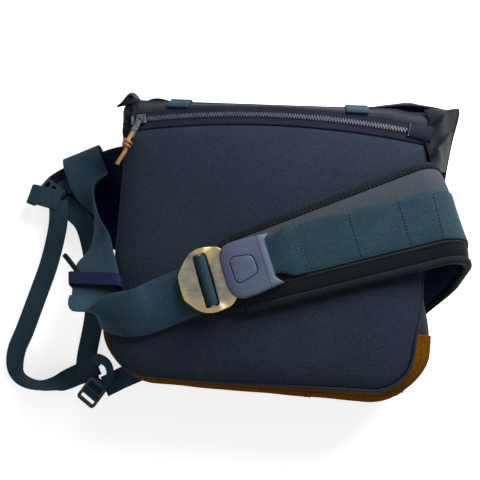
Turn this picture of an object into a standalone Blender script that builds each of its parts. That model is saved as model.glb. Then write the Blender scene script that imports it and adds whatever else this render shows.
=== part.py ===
"""A messenger bag lying on its flap with the padded back panel up.

Frame: X across the bag, Y towards its top edge, Z up, z = 0 at the face of the flap.
Every length below is in millimetres; make() writes metres.
"""

import math

import bpy
import bmesh
import numpy as np
from mathutils import Vector

MM = 0.001
GAP = 0.3                 # between two pieces that touch

# Body
HALF_BOTTOM = 156.0       # half width of the back panel at the bottom seam
HALF_TOP = 164.0          # and at the top
BOTTOM_Y = -136.0
SHOULDER_Y = 125.0        # where the side seams meet the zip
CORNER_R = 46.0
FRONT_SEAM_Z = 7.0
BACK_SEAM_Z = 93.0
SKIN_T = 1.5              # gusset cloth and leather
LEATHER_TOP_Y = -72.0
BULGE_SIDE = 20.0         # the sides swell low down and lie flat near the strap
BULGE_BOTTOM = 10.0
BULGE_KEPT = 0.15
SWELL_FADE = 75.0         # over this height above the leather
PANEL_RISE = 12.0         # back panel from its seam to its crown
COVER_T = 1.5
FRONT_TOP_Y = 150.0
FRONT_T = 2.0
DIVIDER_Z = 84.0
DIVIDER_T = 1.5
FRAME_T = 1.2
BOARD_T = 2.0
BOARD_HALF = 100.0

# Zip
ZIP_R = 900.0
ZIP_CREST_Y = 149.0
ZIP_X = -6.0
ZIP_Z = 99.8              # middle of the tape
TAPE_T = 1.0
CHAIN_HALF = 3.0
CHAIN_H = 3.0
CHAIN_LEFT = 12.0 - HALF_TOP
CHAIN_RIGHT = HALF_TOP - 25.0
TOOTH_PITCH = 4.0
TAPE_BACK = 7.6           # tape edges, measured from the middle of the chain
TAPE_TOP = 15.0
TAPE_LEFT = 4.0 - HALF_TOP
TAPE_RIGHT = HALF_TOP - 2.0
SLIDER_X = 17.0 - HALF_TOP
SLIDER_L = 10.0
SLIDER_HALF = 5.2
SLIDER_WALL = 1.8
LUG_H = 4.2

# Flap
HINGE_Y = 168.0
HINGE_Z = 100.0
FLAP_T = 2.4
LINING_T = 1.0
CLOSURE_T = 1.2
CLOSURE_HALF = 75.0
CLOSURE_Y = (-92.0, -62.0)
TAB_W = 21.0
TAB_T = 1.4
TAB_X = (54.0 - HALF_TOP, HALF_TOP - 74.0)

# Shoulder pad, in the plane of the strap
STRAP_ANGLE = math.radians(18.0)
STRAP_AT = np.array((-22.2, -17.2))   # point of the panel under the buckle
PAD_START = -26.0
PAD_TURN = 194.0          # where the pad leaves the panel
PAD_TURN_R = 30.0
PAD_Z = 112.7             # middle of the pad on the panel
PAD_ROOT_Z = 26.0
PAD_LOW = -44.0
PAD_HIGH = (24.0, 54.0)
PAD_ROUND = 20.0          # how far the corners of its tip draw back
PAD_ROOT_X = 167.6
PAD_SLIP = 58.0           # the return leg slips this far down the bag's side,
PAD_SLIP_L = 134.0        # over this length of pad
PAD_ROOT_FIT = 1.3        # seam to gusset
PAD_AXIS_Z = 20.0
PAD_LINING = (-5.6, -4.6)
PAD_FOAM = (-4.3, 3.7)
PAD_COVER = (4.0, 5.0)
BINDING_W = 5.0
WEB_W = 50.0
WEB_T = 1.6
PAD_WEB_START = 36.0

# Buckle, in its own frame: along the strap, across it, up
BUCKLE_AT = np.array((-13.2, -21.3, 118.0))
BUCKLE_ANGLE = math.radians(21.0)
HOUSING = 54.0
HOUSING_R = 13.0
BASE_T = 1.5
HOUSING_TOP = 13.2
HOUSING_WALL = 6.0
CEILING_Z = 9.2
BUTTON = 26.0
BUTTON_R = 8.0
BUTTON_FIT = 0.4
BUTTON_Z = (11.4, 14.0)
TONGUE_Z = 6.3
TONGUE_T = 2.5
TONGUE_HALF = 10.0
TONGUE_END = 17.0
WINDOW = 11.0
TOOTH = 9.0
LATCH_Z = 4.5
LATCH_T = 1.5
LATCH_HALF = (9.0, 12.8)
POST = (10.8, 12.6)        # the button presses on these, beside the tongue
ROOM_HALF = 14.6
SPRING_Z = (1.8, 4.2)
SPRING_T = 0.5
BRASS_LEFT = -70.0
BRASS_RIGHT = -28.5
BRASS_HALF = 33.0
SLOT_A = (-52.0, -36.0)
SLOT_HALF = 27.0
CHEEK_H = 4.0
BAR_R = 3.0

# Wing and stabiliser strap
WING_Z = (7.0, 17.6)
WING_SKIN = 1.0
STAB_W = 25.0
STAB_T = 1.5
LOCK_AT = (-281.0, 66.0, 19.6)
LOCK_ANGLE = math.radians(148.0)
LOCK_SIZE = (34.0, 30.0, 5.0)
GLIDE_AT = (-199.0, -171.0, 9.2)
GLIDE_ANGLE = math.radians(58.0)
GLIDE_SIZE = (30.0, 26.0, 3.5)

for old in list(bpy.data.objects):
    bpy.data.objects.remove(old, do_unlink=True)


def material(name, colour, roughness, metallic=0.0):
    """A plain surface of one colour."""
    made = bpy.data.materials.new(name)
    made.use_nodes = True
    shader = made.node_tree.nodes["Principled BSDF"]
    shader.inputs["Base Color"].default_value = (*colour, 1.0)
    shader.inputs["Roughness"].default_value = roughness
    shader.inputs["Metallic"].default_value = metallic
    return made


NYLON = material("nylon_cloth", (0.03, 0.035, 0.045), 0.8)
FLAP_CLOTH = material("flap_cloth", (0.045, 0.045, 0.045), 0.7)
LINING = material("navy_lining", (0.02, 0.03, 0.06), 0.85)
FOAM = material("foam", (0.08, 0.08, 0.08), 0.95)
BOARD = material("stiff_board", (0.02, 0.02, 0.02), 0.6)
LEATHER = material("tan_leather", (0.16, 0.09, 0.05), 0.7)
LACE = material("pull_leather", (0.35, 0.16, 0.06), 0.6)
WEBBING = material("teal_webbing", (0.02, 0.05, 0.055), 0.75)
BINDING = material("dark_binding", (0.012, 0.02, 0.018), 0.8)
CORD_TAPE = material("zip_tape", (0.02, 0.025, 0.04), 0.8)
METAL = material("zip_metal", (0.35, 0.35, 0.36), 0.35, 1.0)
BRASS = material("antique_brass", (0.3, 0.24, 0.15), 0.4, 1.0)
STEEL = material("spring_steel", (0.5, 0.5, 0.5), 0.3, 1.0)
SLATE = material("slate_plastic", (0.09, 0.11, 0.14), 0.55)


def make(name, points, faces, surface, origin=(0.0, 0.0, 0.0)):
    """An object from points in millimetres, facing out, with its origin where it turns."""
    mesh = bpy.data.meshes.new(name)
    local = (np.asarray(points, float) - np.asarray(origin, float)) * MM
    mesh.from_pydata([tuple(p) for p in local], [], [tuple(f) for f in faces])
    bm = bmesh.new()
    bm.from_mesh(mesh)
    bmesh.ops.recalc_face_normals(bm, faces=bm.faces)
    bm.to_mesh(mesh)
    bm.free()
    mesh.materials.append(surface)
    obj = bpy.data.objects.new(name, mesh)
    obj.location = Vector(tuple(np.asarray(origin, float) * MM))
    bpy.context.scene.collection.objects.link(obj)
    return obj


def slab(name, top, bottom, surface, origin=(0.0, 0.0, 0.0)):
    """The solid between two grids of points of the same shape."""
    rows, columns = top.shape[:2]
    points = np.concatenate([top.reshape(-1, 3), bottom.reshape(-1, 3)])
    under = rows * columns
    faces = []
    for i in range(rows - 1):
        for j in range(columns - 1):
            a = i * columns + j
            faces.append((a, a + 1, a + columns + 1, a + columns))
            faces.append((under + a, under + a + columns, under + a + columns + 1, under + a + 1))
    ring = [j for j in range(columns)]
    ring += [i * columns + columns - 1 for i in range(1, rows)]
    ring += [(rows - 1) * columns + j for j in range(columns - 2, -1, -1)]
    ring += [i * columns for i in range(rows - 2, 0, -1)]
    for k, a in enumerate(ring):
        b = ring[(k + 1) % len(ring)]
        faces.append((a, under + a, under + b, b))
    return make(name, points, faces, surface, origin)


def prism(name, outline, low, high, surface, origin=(0.0, 0.0, 0.0), turn=None):
    """An outline in X and Y carried from one height to another, then turned by a matrix."""
    count = len(outline)
    flat = np.asarray(outline, float)
    points = np.concatenate(
        [np.column_stack([flat, np.full(count, z)]) for z in (low, high)]
    )
    if turn is not None:
        points = points @ turn[0].T + turn[1]
    faces = [tuple(range(count)), tuple(range(count, 2 * count))]
    for i in range(count):
        j = (i + 1) % count
        faces.append((i, j, count + j, count + i))
    return make(name, points, faces, surface, origin)


def dome(name, outline, fractions, top, bottom, surface):
    """A closed outline drawn in ring by ring, with a height above and below for each ring."""
    count = len(outline)
    points = []
    faces = []
    for heights in (top, bottom):
        start = len(points)
        for k, part in enumerate(fractions):
            scale, height = heights(part)
            points += [(x * scale, y * scale, height) for x, y in outline]
        points.append((0.0, 0.0, heights(0.0)[1]))
        for k in range(len(fractions) - 1):
            for i in range(count):
                j = (i + 1) % count
                a = start + k * count
                faces.append((a + i, a + j, a + count + j, a + count + i))
        last = start + (len(fractions) - 1) * count
        for i in range(count):
            faces.append((last + i, last + (i + 1) % count, len(points) - 1))
    under = len(fractions) * count + 1
    for i in range(count):
        j = (i + 1) % count
        faces.append((i, j, under + j, under + i))
    return make(name, points, faces, surface)


def boolean(obj, other, operation):
    """Joins or cuts with a second solid and drops that solid."""
    cut = obj.modifiers.new("cut", "BOOLEAN")
    cut.operation = operation
    cut.solver = "EXACT"
    cut.object = other
    bpy.context.view_layer.update()
    graph = bpy.context.evaluated_depsgraph_get()
    mesh = bpy.data.meshes.new_from_object(obj.evaluated_get(graph))
    obj.modifiers.clear()
    obj.data = mesh
    bpy.data.objects.remove(other, do_unlink=True)


def rounded(width, height, radius, steps=5, centre=(0.0, 0.0)):
    """A rectangle with round corners."""
    points = []
    for k, (sx, sy) in enumerate(((1, 1), (-1, 1), (-1, -1), (1, -1))):
        for i in range(steps + 1):
            angle = math.pi / 2 * (k + i / steps)
            x = sx * (width / 2 - radius) + radius * math.cos(angle)
            y = sy * (height / 2 - radius) + radius * math.sin(angle)
            points.append((x + centre[0], y + centre[1]))
    return points


def box(low, high):
    """Outline of a rectangle from one corner to the other."""
    return [(low[0], low[1]), (high[0], low[1]), (high[0], high[1]), (low[0], high[1])]


def arc_point(x, offset):
    """Point of a line that runs with the zip, this far outside it."""
    angle = math.asin((x - ZIP_X) / ZIP_R)
    radius = ZIP_R + offset
    return (
        ZIP_X + radius * math.sin(angle),
        ZIP_CREST_Y - ZIP_R + radius * math.cos(angle),
    )


# Outline of the sides and bottom, from the right shoulder round to the left one.

def half_width(y):
    """Half the width of the body at this height."""
    return HALF_BOTTOM + (HALF_TOP - HALF_BOTTOM) * (y - BOTTOM_Y) / (SHOULDER_Y - BOTTOM_Y)


def side_path():
    """Right side down, round the corner, along the bottom, and the mirror of it."""
    corner_y = BOTTOM_Y + CORNER_R
    right = [(half_width(y), y) for y in np.linspace(SHOULDER_Y, LEATHER_TOP_Y, 6)]
    edge = half_width(corner_y)
    for i in range(7):
        angle = -math.pi / 2 * i / 6
        right.append((edge - CORNER_R + CORNER_R * math.cos(angle), corner_y + CORNER_R * math.sin(angle)))
    left = [(-x, y) for x, y in right[::-1]]
    return np.array(right + [(35.0, BOTTOM_Y), (-35.0, BOTTOM_Y)] + left)


SIDE = side_path()
SIDE_STEP = np.gradient(SIDE, axis=0)
SIDE_OUT = np.column_stack([-SIDE_STEP[:, 1], SIDE_STEP[:, 0]])
SIDE_OUT = SIDE_OUT / np.linalg.norm(SIDE_OUT, axis=1)[:, None]
SIDE_OUT = SIDE_OUT * np.where((SIDE_OUT * SIDE).sum(axis=1) < 0, -1, 1)[:, None]
SIDE_RISE = np.clip((SIDE[:, 1] - LEATHER_TOP_Y) / SWELL_FADE, 0, 1)
SIDE_EASE = SIDE_RISE * SIDE_RISE * (3 - 2 * SIDE_RISE)
SIDE_SWELL = BULGE_SIDE * (1 - (1 - BULGE_KEPT) * SIDE_EASE)
SWELL = BULGE_BOTTOM + (SIDE_SWELL - BULGE_BOTTOM) * np.abs(SIDE_OUT[:, 0])
BAND_Z = np.linspace(FRONT_SEAM_Z, BACK_SEAM_Z, 9)
BAND_SWELL = np.sin(np.pi * (BAND_Z - FRONT_SEAM_Z) / (BACK_SEAM_Z - FRONT_SEAM_Z))
CLOSED = np.array(
    [arc_point(x, -TAPE_BACK - 0.4) for x in np.linspace(-150, 150, 9)] + [tuple(p) for p in SIDE]
)


def band(name, first, last, surface, trim=(0.0, 0.0)):
    """The wall of the body along part of its outline, swollen between its two seams."""
    path = SIDE[first : last + 1].copy()
    path[0] += np.array((0.0, trim[0]))
    path[-1] += np.array((0.0, trim[1]))
    out = SIDE_OUT[first : last + 1]
    swell = SWELL[first : last + 1, None] * BAND_SWELL[None, :]
    outer = np.empty((len(path), len(BAND_Z), 3))
    outer[:, :, :2] = path[:, None] + out[:, None] * swell[:, :, None]
    outer[:, :, 2] = BAND_Z
    inner = outer.copy()
    inner[:, :, :2] -= out[:, None] * SKIN_T
    return slab(name, outer, inner, surface)


RIGHT_LAST = 5
LEFT_FIRST = len(SIDE) - 6
band("right_gusset", 0, RIGHT_LAST, NYLON, (0.0, GAP))
band("left_gusset", LEFT_FIRST, len(SIDE) - 1, NYLON, (GAP, 0.0))
band("leather_base", RIGHT_LAST, LEFT_FIRST, LEATHER)

# Front panel, sleeve divider, frame sheet, bottom board.

INSET = SIDE - SIDE_OUT * (SKIN_T + GAP)
FRONT = [tuple(p) for p in INSET]
FRONT += [(-HALF_TOP + 4.0, FRONT_TOP_Y), (HALF_TOP - 4.0, FRONT_TOP_Y)]
prism("front_panel", FRONT, FRONT_SEAM_Z, FRONT_SEAM_Z + FRONT_T, NYLON)
FLAT = [(x * 0.975, y * 0.975) for x, y in CLOSED]
DIVIDER_TOP = DIVIDER_Z + DIVIDER_T
prism("sleeve_divider", FLAT, DIVIDER_Z, DIVIDER_TOP, LINING)
FRAME_Z = DIVIDER_TOP + GAP
prism("frame_sheet", FLAT, FRAME_Z, FRAME_Z + FRAME_T, BOARD)
BOARD_Y = BOTTOM_Y + SKIN_T + GAP
prism(
    "base_board",
    box((-BOARD_HALF, BOARD_Y), (BOARD_HALF, BOARD_Y + BOARD_T)),
    FRONT_SEAM_Z + FRONT_T + GAP,
    DIVIDER_Z - GAP,
    BOARD,
)

# Back panel: a cover drawn over foam.

RINGS = (1.0, 0.985, 0.96, 0.91, 0.83, 0.65, 0.35)
SEAM_TOP = BACK_SEAM_Z + GAP + COVER_T


def crown(part):
    """Height of the back panel above its seam, from the middle (0) to the edge (1)."""
    return PANEL_RISE * math.sqrt(1 - part ** 6)


dome(
    "back_panel_cover",
    CLOSED,
    RINGS,
    lambda part: (part, SEAM_TOP + crown(part)),
    lambda part: (part * 0.992, SEAM_TOP + crown(part) - COVER_T),
    NYLON,
)
FOAM_LOW = FRAME_Z + FRAME_T + GAP
dome(
    "back_panel_foam",
    CLOSED,
    RINGS,
    lambda part: (part * 0.983, SEAM_TOP + crown(part) - COVER_T - GAP),
    lambda part: (part * 0.983, FOAM_LOW),
    FOAM,
)

# Zip along the top of the back panel.


def zip_strip(name, near, far, left, right, low, high, surface):
    """A flat strip that runs with the zip."""
    xs = np.linspace(left, right, 13)
    grids = []
    for z in (high, low):
        grids.append(np.array([[(*arc_point(x, near), z), (*arc_point(x, far), z)] for x in xs]))
    return slab(name, grids[0], grids[1], surface)


TAPE_LOW = ZIP_Z - TAPE_T / 2
TAPE_HIGH = ZIP_Z + TAPE_T / 2
BESIDE = CHAIN_HALF + GAP
zip_strip("zip_tape_back", -TAPE_BACK, -BESIDE, TAPE_LEFT, TAPE_RIGHT, TAPE_LOW, TAPE_HIGH, CORD_TAPE)
zip_strip("zip_tape_top", BESIDE, TAPE_TOP, TAPE_LEFT, TAPE_RIGHT, TAPE_LOW, TAPE_HIGH, CORD_TAPE)

# The chain: one bar along the zip, ribbed tooth by tooth.
TEETH = int((CHAIN_RIGHT - CHAIN_LEFT) / TOOTH_PITCH)
CHAIN_LOW = ZIP_Z - CHAIN_H / 2
CHAIN_HIGH = ZIP_Z + CHAIN_H / 2
chain_top = []
chain_low = []
for tooth in range(TEETH * 2 + 1):
    place = CHAIN_LEFT + tooth * TOOTH_PITCH / 2
    shrink = 0.45 if tooth % 2 else 0.0
    half = CHAIN_HALF - shrink
    pair = (arc_point(place, -half), arc_point(place, half))
    chain_top.append([(*at, CHAIN_HIGH - shrink) for at in pair])
    chain_low.append([(*at, CHAIN_LOW + shrink) for at in pair])
slab("zip_chain", np.array(chain_top), np.array(chain_low), METAL)

GARAGE = (HALF_TOP - 23.0, HALF_TOP - 3.0)      # cloth cover at the closed end of the zip
STOP = (5.5 - HALF_TOP, 8.5 - HALF_TOP)         # metal stop at its open end
ON_TAPE = TAPE_HIGH + GAP
zip_strip("zip_garage", -6.5, 8.5, *GARAGE, ON_TAPE, ON_TAPE + 1.4, LINING)
zip_strip("zip_stop", -5.0, 5.0, *STOP, ON_TAPE, ON_TAPE + 1.2, METAL)

# Facing between the zip and the hinge of the flap.
facing_x = np.linspace(6.0 - HALF_TOP, HALF_TOP - 6.0, 13)
facing = []
for z in (TAPE_HIGH, TAPE_LOW):
    near = [(*arc_point(x, TAPE_TOP + GAP), z) for x in facing_x]
    far = [(x * 1.02, HINGE_Y - GAP, z) for x in facing_x]
    facing.append(np.array([[a, b] for a, b in zip(near, far)]))
slab("zip_facing", facing[0], facing[1], NYLON)

# Slider: a cap over the chain and a plate under it, with a lug that the tab hangs on.
SLIDER_TURN = -math.asin((SLIDER_X - ZIP_X) / ZIP_R)
SLIDER_MID = np.array((*arc_point(SLIDER_X, 0.0), 0.0))
ZIP_AXIS = (ZIP_X, ZIP_CREST_Y - ZIP_R, ZIP_Z)


def turned(angle, at):
    """A turn about Z and a shift, for prism()."""
    c = math.cos(angle)
    s = math.sin(angle)
    return np.array(((c, -s, 0), (s, c, 0), (0, 0, 1))), np.asarray(at, float)


CAP_LOW = CHAIN_HIGH + GAP
CAP_HIGH = CAP_LOW + SLIDER_WALL
SLOT = CHAIN_HALF + 0.4
cap_profile = [
    (-SLIDER_HALF, TAPE_HIGH + GAP), (-SLOT, TAPE_HIGH + GAP), (-SLOT, CAP_LOW), (SLOT, CAP_LOW),
    (SLOT, TAPE_HIGH + GAP), (SLIDER_HALF, TAPE_HIGH + GAP),
    (SLIDER_HALF, CAP_HIGH), (-SLIDER_HALF, CAP_HIGH),
]
UPRIGHT = np.array(((0, 0, 1), (1, 0, 0), (0, 1, 0)), float)
slider_turn = turned(SLIDER_TURN, SLIDER_MID)
slider = prism(
    "zip_slider",
    cap_profile,
    -SLIDER_L / 2,
    SLIDER_L / 2,
    METAL,
    ZIP_AXIS,
    (slider_turn[0] @ UPRIGHT, slider_turn[1]),
)
lug_line = box((-1.2, -1.1), (1.2, 1.1))
lug = prism("lug", lug_line, CAP_HIGH - 0.5, CAP_HIGH + LUG_H, METAL, (0, 0, 0), slider_turn)
boolean(slider, lug, "UNION")
prism(
    "zip_slider_plate",
    box((-SLIDER_L / 2, -SLIDER_HALF), (SLIDER_L / 2, SLIDER_HALF)),
    CHAIN_LOW - GAP - 1.0,
    CHAIN_LOW - GAP,
    METAL,
    ZIP_AXIS,
    slider_turn,
)

# Pull: a tab round the lug, leaning over the back panel, and a knotted lace.
PULL_UP = 3.0
PULL_AXIS = SLIDER_MID + np.array((0.0, 0.0, CAP_HIGH + PULL_UP))
PULL_TURN = math.radians(-106.0)
PULL_LEAN = math.radians(6.0)
TAB_L = 24.0
lean = np.array((
    (math.cos(PULL_LEAN), 0, -math.sin(PULL_LEAN)), (0, 1, 0), (math.sin(PULL_LEAN), 0, math.cos(PULL_LEAN)),
))
pull_frame = (turned(PULL_TURN, (0, 0, 0))[0] @ lean, PULL_AXIS)
pull_line = rounded(TAB_L + 5.0, 6.5, 3.0, 4, (TAB_L / 2, 0))
pull = prism("zip_pull_tab", pull_line, -0.6, 0.6, METAL, PULL_AXIS, pull_frame)
hole = prism("hole", rounded(5.6, 3.4, 1.2, 3), -4.0, 4.0, METAL, (0, 0, 0), pull_frame)
boolean(pull, hole, "DIFFERENCE")
eye = prism("eye", rounded(4.4, 3.4, 1.6, 4, (TAB_L - 1.5, 0)), -4.0, 4.0, METAL, (0, 0, 0), pull_frame)
boolean(pull, eye, "DIFFERENCE")


def tube(name, path, radii, sides, surface, origin):
    """A round bar along a path, with its own radius at each point."""
    path = np.asarray(path, float)
    step = np.gradient(path, axis=0)
    step = step / np.linalg.norm(step, axis=1)[:, None]
    side = np.cross(step, (0.0, 0.0, 1.0))
    side = side / np.linalg.norm(side, axis=1)[:, None]
    up = np.cross(side, step)
    points = []
    faces = []
    for k, centre in enumerate(path):
        for i in range(sides):
            angle = 2 * math.pi * i / sides
            points.append(centre + radii[k] * (math.cos(angle) * side[k] + math.sin(angle) * up[k]))
    for k in range(len(path) - 1):
        for i in range(sides):
            j = (i + 1) % sides
            a = k * sides
            faces.append((a + i, a + j, a + sides + j, a + sides + i))
    faces.append(tuple(range(sides)))
    faces.append(tuple(range((len(path) - 1) * sides, len(path) * sides)))
    return make(name, points, faces, surface, origin)


LACE_A = (0.0, 4.0, 10.0, 13.0, 17.0, 21.0, 24.0, 30.0, 38.0, 46.0)
LACE_R = (2.0, 2.2, 2.4, 4.6, 5.4, 4.6, 2.4, 2.6, 2.6, 2.0)
LACE_TOP = 112.5          # keeps the knot clear of the panel
lace_path = []
for along in LACE_A:
    x, y, z = pull_frame[0] @ np.array((TAB_L + 3.2 + along, 0.0, 0.0)) + PULL_AXIS
    low = PULL_AXIS[2] + (TAB_L + 3.2) * math.sin(PULL_LEAN)
    lace_path.append((x, y, min(LACE_TOP, low + 0.35 * along)))
tube("leather_pull", lace_path, LACE_R, 8, LACE, PULL_AXIS)

# Flap: a sheet from the hinge round the top edge and over the front.

FLAP_LINE = (
    (168.6, 99.0, -156.0, 160.0), (173.0, 95.0, -166.0, 178.0), (178.0, 84.0, -174.0, 196.0),
    (180.5, 64.0, -178.0, 206.0), (180.0, 36.0, -177.0, 208.0), (176.5, 15.0, -174.0, 209.0),
    (169.0, 4.6, -172.0, 209.0), (155.0, 1.2, -170.0, 208.0), (110.0, 1.2, -169.0, 203.0),
    (20.0, 1.2, -166.0, 168.0), (-90.0, 1.2, -162.0, 162.0), (-112.0, 1.2, -155.0, 155.0),
    (-124.0, 1.2, -138.0, 138.0),
)
FLAP_ACROSS = (0.0, 0.05, 0.1, 0.3, 0.5, 0.72, 0.8, 0.88, 0.94, 1.0)   # columns, left to right
FLAP_TUCK = (0.0, 0.3, 0.8, 0.8, 0.8, 0.8, 0.65, 0.25, 0.0, 0.0)      # how far each is drawn in
FLAP_AXIS = (0.0, HINGE_Y, HINGE_Z)


def flap_layer(name, low, high, first, last, across, surface, by_x=False):
    """A layer of the flap between two distances inside its middle line."""
    line = np.array([(y, z) for y, z, _, _ in FLAP_LINE])
    step = np.gradient(line, axis=0)
    step[7:] = (-1.0, 0.0)
    step = step / np.linalg.norm(step, axis=1)[:, None]
    inside = np.column_stack([step[:, 1], -step[:, 0]])
    grids = []
    for offset in (high, low):
        rows = []
        for k in range(first, last + 1):
            left, right = FLAP_LINE[k][2:]
            row = []
            for value in across:
                x = value if by_x else left + (right - left) * value
                tuck = np.interp((x - left) / (right - left), FLAP_ACROSS, FLAP_TUCK)
                y = line[k][0] - tuck * max(0.0, line[k][0] - HINGE_Y)
                row.append((x, y + inside[k][0] * offset, line[k][1] + inside[k][1] * offset))
            rows.append(row)
        grids.append(np.array(rows))
    return slab(name, grids[0], grids[1], surface, FLAP_AXIS)


HALF_FLAP = FLAP_T / 2
LAST = len(FLAP_LINE) - 1
flap_layer("flap", -HALF_FLAP, HALF_FLAP, 0, LAST, FLAP_ACROSS, FLAP_CLOTH)
LINING_AT = HALF_FLAP + GAP
INSIDE = (0.03, *FLAP_ACROSS[1:-1], 0.97)
flap_layer("flap_lining", LINING_AT, LINING_AT + LINING_T, 1, LAST, INSIDE, LINING)
for side, x in zip(("left", "right"), TAB_X):
    flap_layer(
        "flap_tab_" + side,
        -HALF_FLAP - GAP - TAB_T,
        -HALF_FLAP - GAP,
        0,
        3,
        (x - TAB_W / 2, x + TAB_W / 2),
        WEBBING,
        True,
    )
HOOK_Z = 1.2 + LINING_AT + LINING_T + GAP
LOOP_Z = HOOK_Z + CLOSURE_T + GAP
CLOSURE = box((-CLOSURE_HALF, CLOSURE_Y[0]), (CLOSURE_HALF, CLOSURE_Y[1]))
prism("closure_hook", CLOSURE, HOOK_Z, HOOK_Z + CLOSURE_T, BINDING, FLAP_AXIS)
prism("closure_loop", CLOSURE, LOOP_Z, FRONT_SEAM_Z - GAP, BINDING)

# Shoulder pad: layers along one path, which turns down beside the bag to its seam.

ALONG = np.array((math.cos(STRAP_ANGLE), math.sin(STRAP_ANGLE)))
ACROSS = np.array((-math.sin(STRAP_ANGLE), math.cos(STRAP_ANGLE)))


def pad_edge(s, part):
    """Distance across the strap, from its low edge (0) to its high edge (1)."""
    grow = min(1.0, max(0.0, (s - PAD_START) / (PAD_TURN + PAD_TURN_R - PAD_START)))
    return PAD_LOW + part * (PAD_HIGH[0] + (PAD_HIGH[1] - PAD_HIGH[0]) * grow - PAD_LOW)


def pad_tip(part):
    """Where the rounded end of the pad begins at this place across it."""
    return PAD_START + PAD_ROUND * abs(2 * part - 1) ** 2.5


def gusset_x(y, z):
    """Outside of the right gusset at this place."""
    rise = min(1.0, max(0.0, (y - LEATHER_TOP_Y) / SWELL_FADE))
    ease = rise * rise * (3 - 2 * rise)
    bulge = BULGE_SIDE * (1 - (1 - BULGE_KEPT) * ease)
    return half_width(y) + bulge * math.sin(math.pi * (z - FRONT_SEAM_Z) / (BACK_SEAM_Z - FRONT_SEAM_Z))


def pad_column(start, edge, offset):
    """One line along the pad: over the panel, round the turn and back to the seam on the gusset."""
    radius = PAD_TURN_R + offset
    across = edge(PAD_TURN + PAD_TURN_R)
    root_y = STRAP_AT[1] + ALONG[1] * PAD_TURN + ACROSS[1] * across - PAD_SLIP
    root_x = gusset_x(root_y, PAD_ROOT_Z + PAD_TURN_R * 0.7) + PAD_ROOT_FIT
    line = [(s, PAD_Z + offset, 0.0) for s in np.linspace(start, PAD_TURN, 8)]
    quarter = PAD_TURN_R * math.pi / 2
    for i in range(1, 7):
        angle = math.pi / 2 * (1 - i / 6)
        high = PAD_Z - PAD_TURN_R + radius * math.sin(angle)
        line.append((PAD_TURN + radius * math.cos(angle), high, quarter * i / 6))
    low = PAD_ROOT_Z + PAD_TURN_R
    before = quarter + PAD_Z - PAD_TURN_R - low
    seam = (root_x - STRAP_AT[0] + across * ACROSS_X) / ALONG[0]
    curved = seam > PAD_TURN
    reach = math.acos(min(0.96, (seam - PAD_TURN) / radius)) if curved else math.pi / 2
    count = 7 if curved else 6
    for i in range(count + 1):
        angle = -reach * i / count
        run = before - PAD_TURN_R * angle
        line.append((PAD_TURN + radius * math.cos(angle), low + radius * math.sin(angle), run))
    if not curved:
        line.append((seam, PAD_ROOT_Z - offset, before + quarter + PAD_TURN - seam))
    points = []
    for s, z, run in line:
        x, y = STRAP_AT + ALONG * s + ACROSS * edge(s)
        points.append((x, y - PAD_SLIP * (run / PAD_SLIP_L) ** 1.5, z))
    return points


def pad_layer(name, span, places, surface, rows=None):
    """A layer of the pad: columns across it at these places, between two offsets."""
    grids = []
    for offset in (span[1], span[0]):
        columns = [pad_column(*place, offset) for place in places]
        grids.append(np.array(columns).transpose(1, 0, 2)[:rows])
    return slab(name, grids[0], grids[1], surface, PAD_AXIS)


ACROSS_X = math.sin(STRAP_ANGLE)
PAD_AXIS = (PAD_ROOT_X, 45.0, PAD_AXIS_Z)
PARTS = np.linspace(0, 1, 7)
PAD_PLACES = [(pad_tip(p), lambda s, p=p: pad_edge(s, p)) for p in PARTS]
pad_layer("pad_lining", PAD_LINING, PAD_PLACES, LINING)
pad_layer("pad_foam", PAD_FOAM, PAD_PLACES, FOAM)
pad_layer("pad_cover", PAD_COVER, PAD_PLACES, NYLON)
PAD_WHOLE = (PAD_LINING[0], PAD_COVER[1])
for side, part, sign in (("low", 0, -1), ("high", 1, 1)):
    strip = [
        (pad_tip(part), lambda s, d=d: pad_edge(s, part) + sign * d) for d in (GAP, BINDING_W)
    ]
    pad_layer("pad_binding_" + side, PAD_WHOLE, strip, BINDING)
tip = []
for offset in (PAD_WHOLE[1], PAD_WHOLE[0]):
    lines = []
    for back in (BINDING_W, GAP):
        row = []
        for p in np.linspace(0, 1, 13):
            at = STRAP_AT + ALONG * (pad_tip(p) - back) + ACROSS * pad_edge(pad_tip(p), p)
            row.append((*at, PAD_Z + offset))
        lines.append(row)
    tip.append(np.array(lines))
slab("pad_binding_tip", tip[0], tip[1], BINDING, PAD_AXIS)
WEB_AT = PAD_COVER[1] + GAP
web_places = [(PAD_WEB_START, lambda s, d=d: d) for d in (-WEB_W / 2, WEB_W / 2)]
pad_layer("pad_webbing", (WEB_AT, WEB_AT + WEB_T), web_places, WEBBING, rows=16)

# Buckle: a housing with a button over a sprung latch, and a brass tongue that it holds.

BUCKLE = turned(BUCKLE_ANGLE, BUCKLE_AT)
PULL_END = tuple(BUCKLE_AT)


def buckle_piece(name, outline, low, high, surface):
    """A piece of the buckle, drawn in the buckle's own frame."""
    return prism(name, outline, low, high, surface, PULL_END, BUCKLE)


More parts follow.
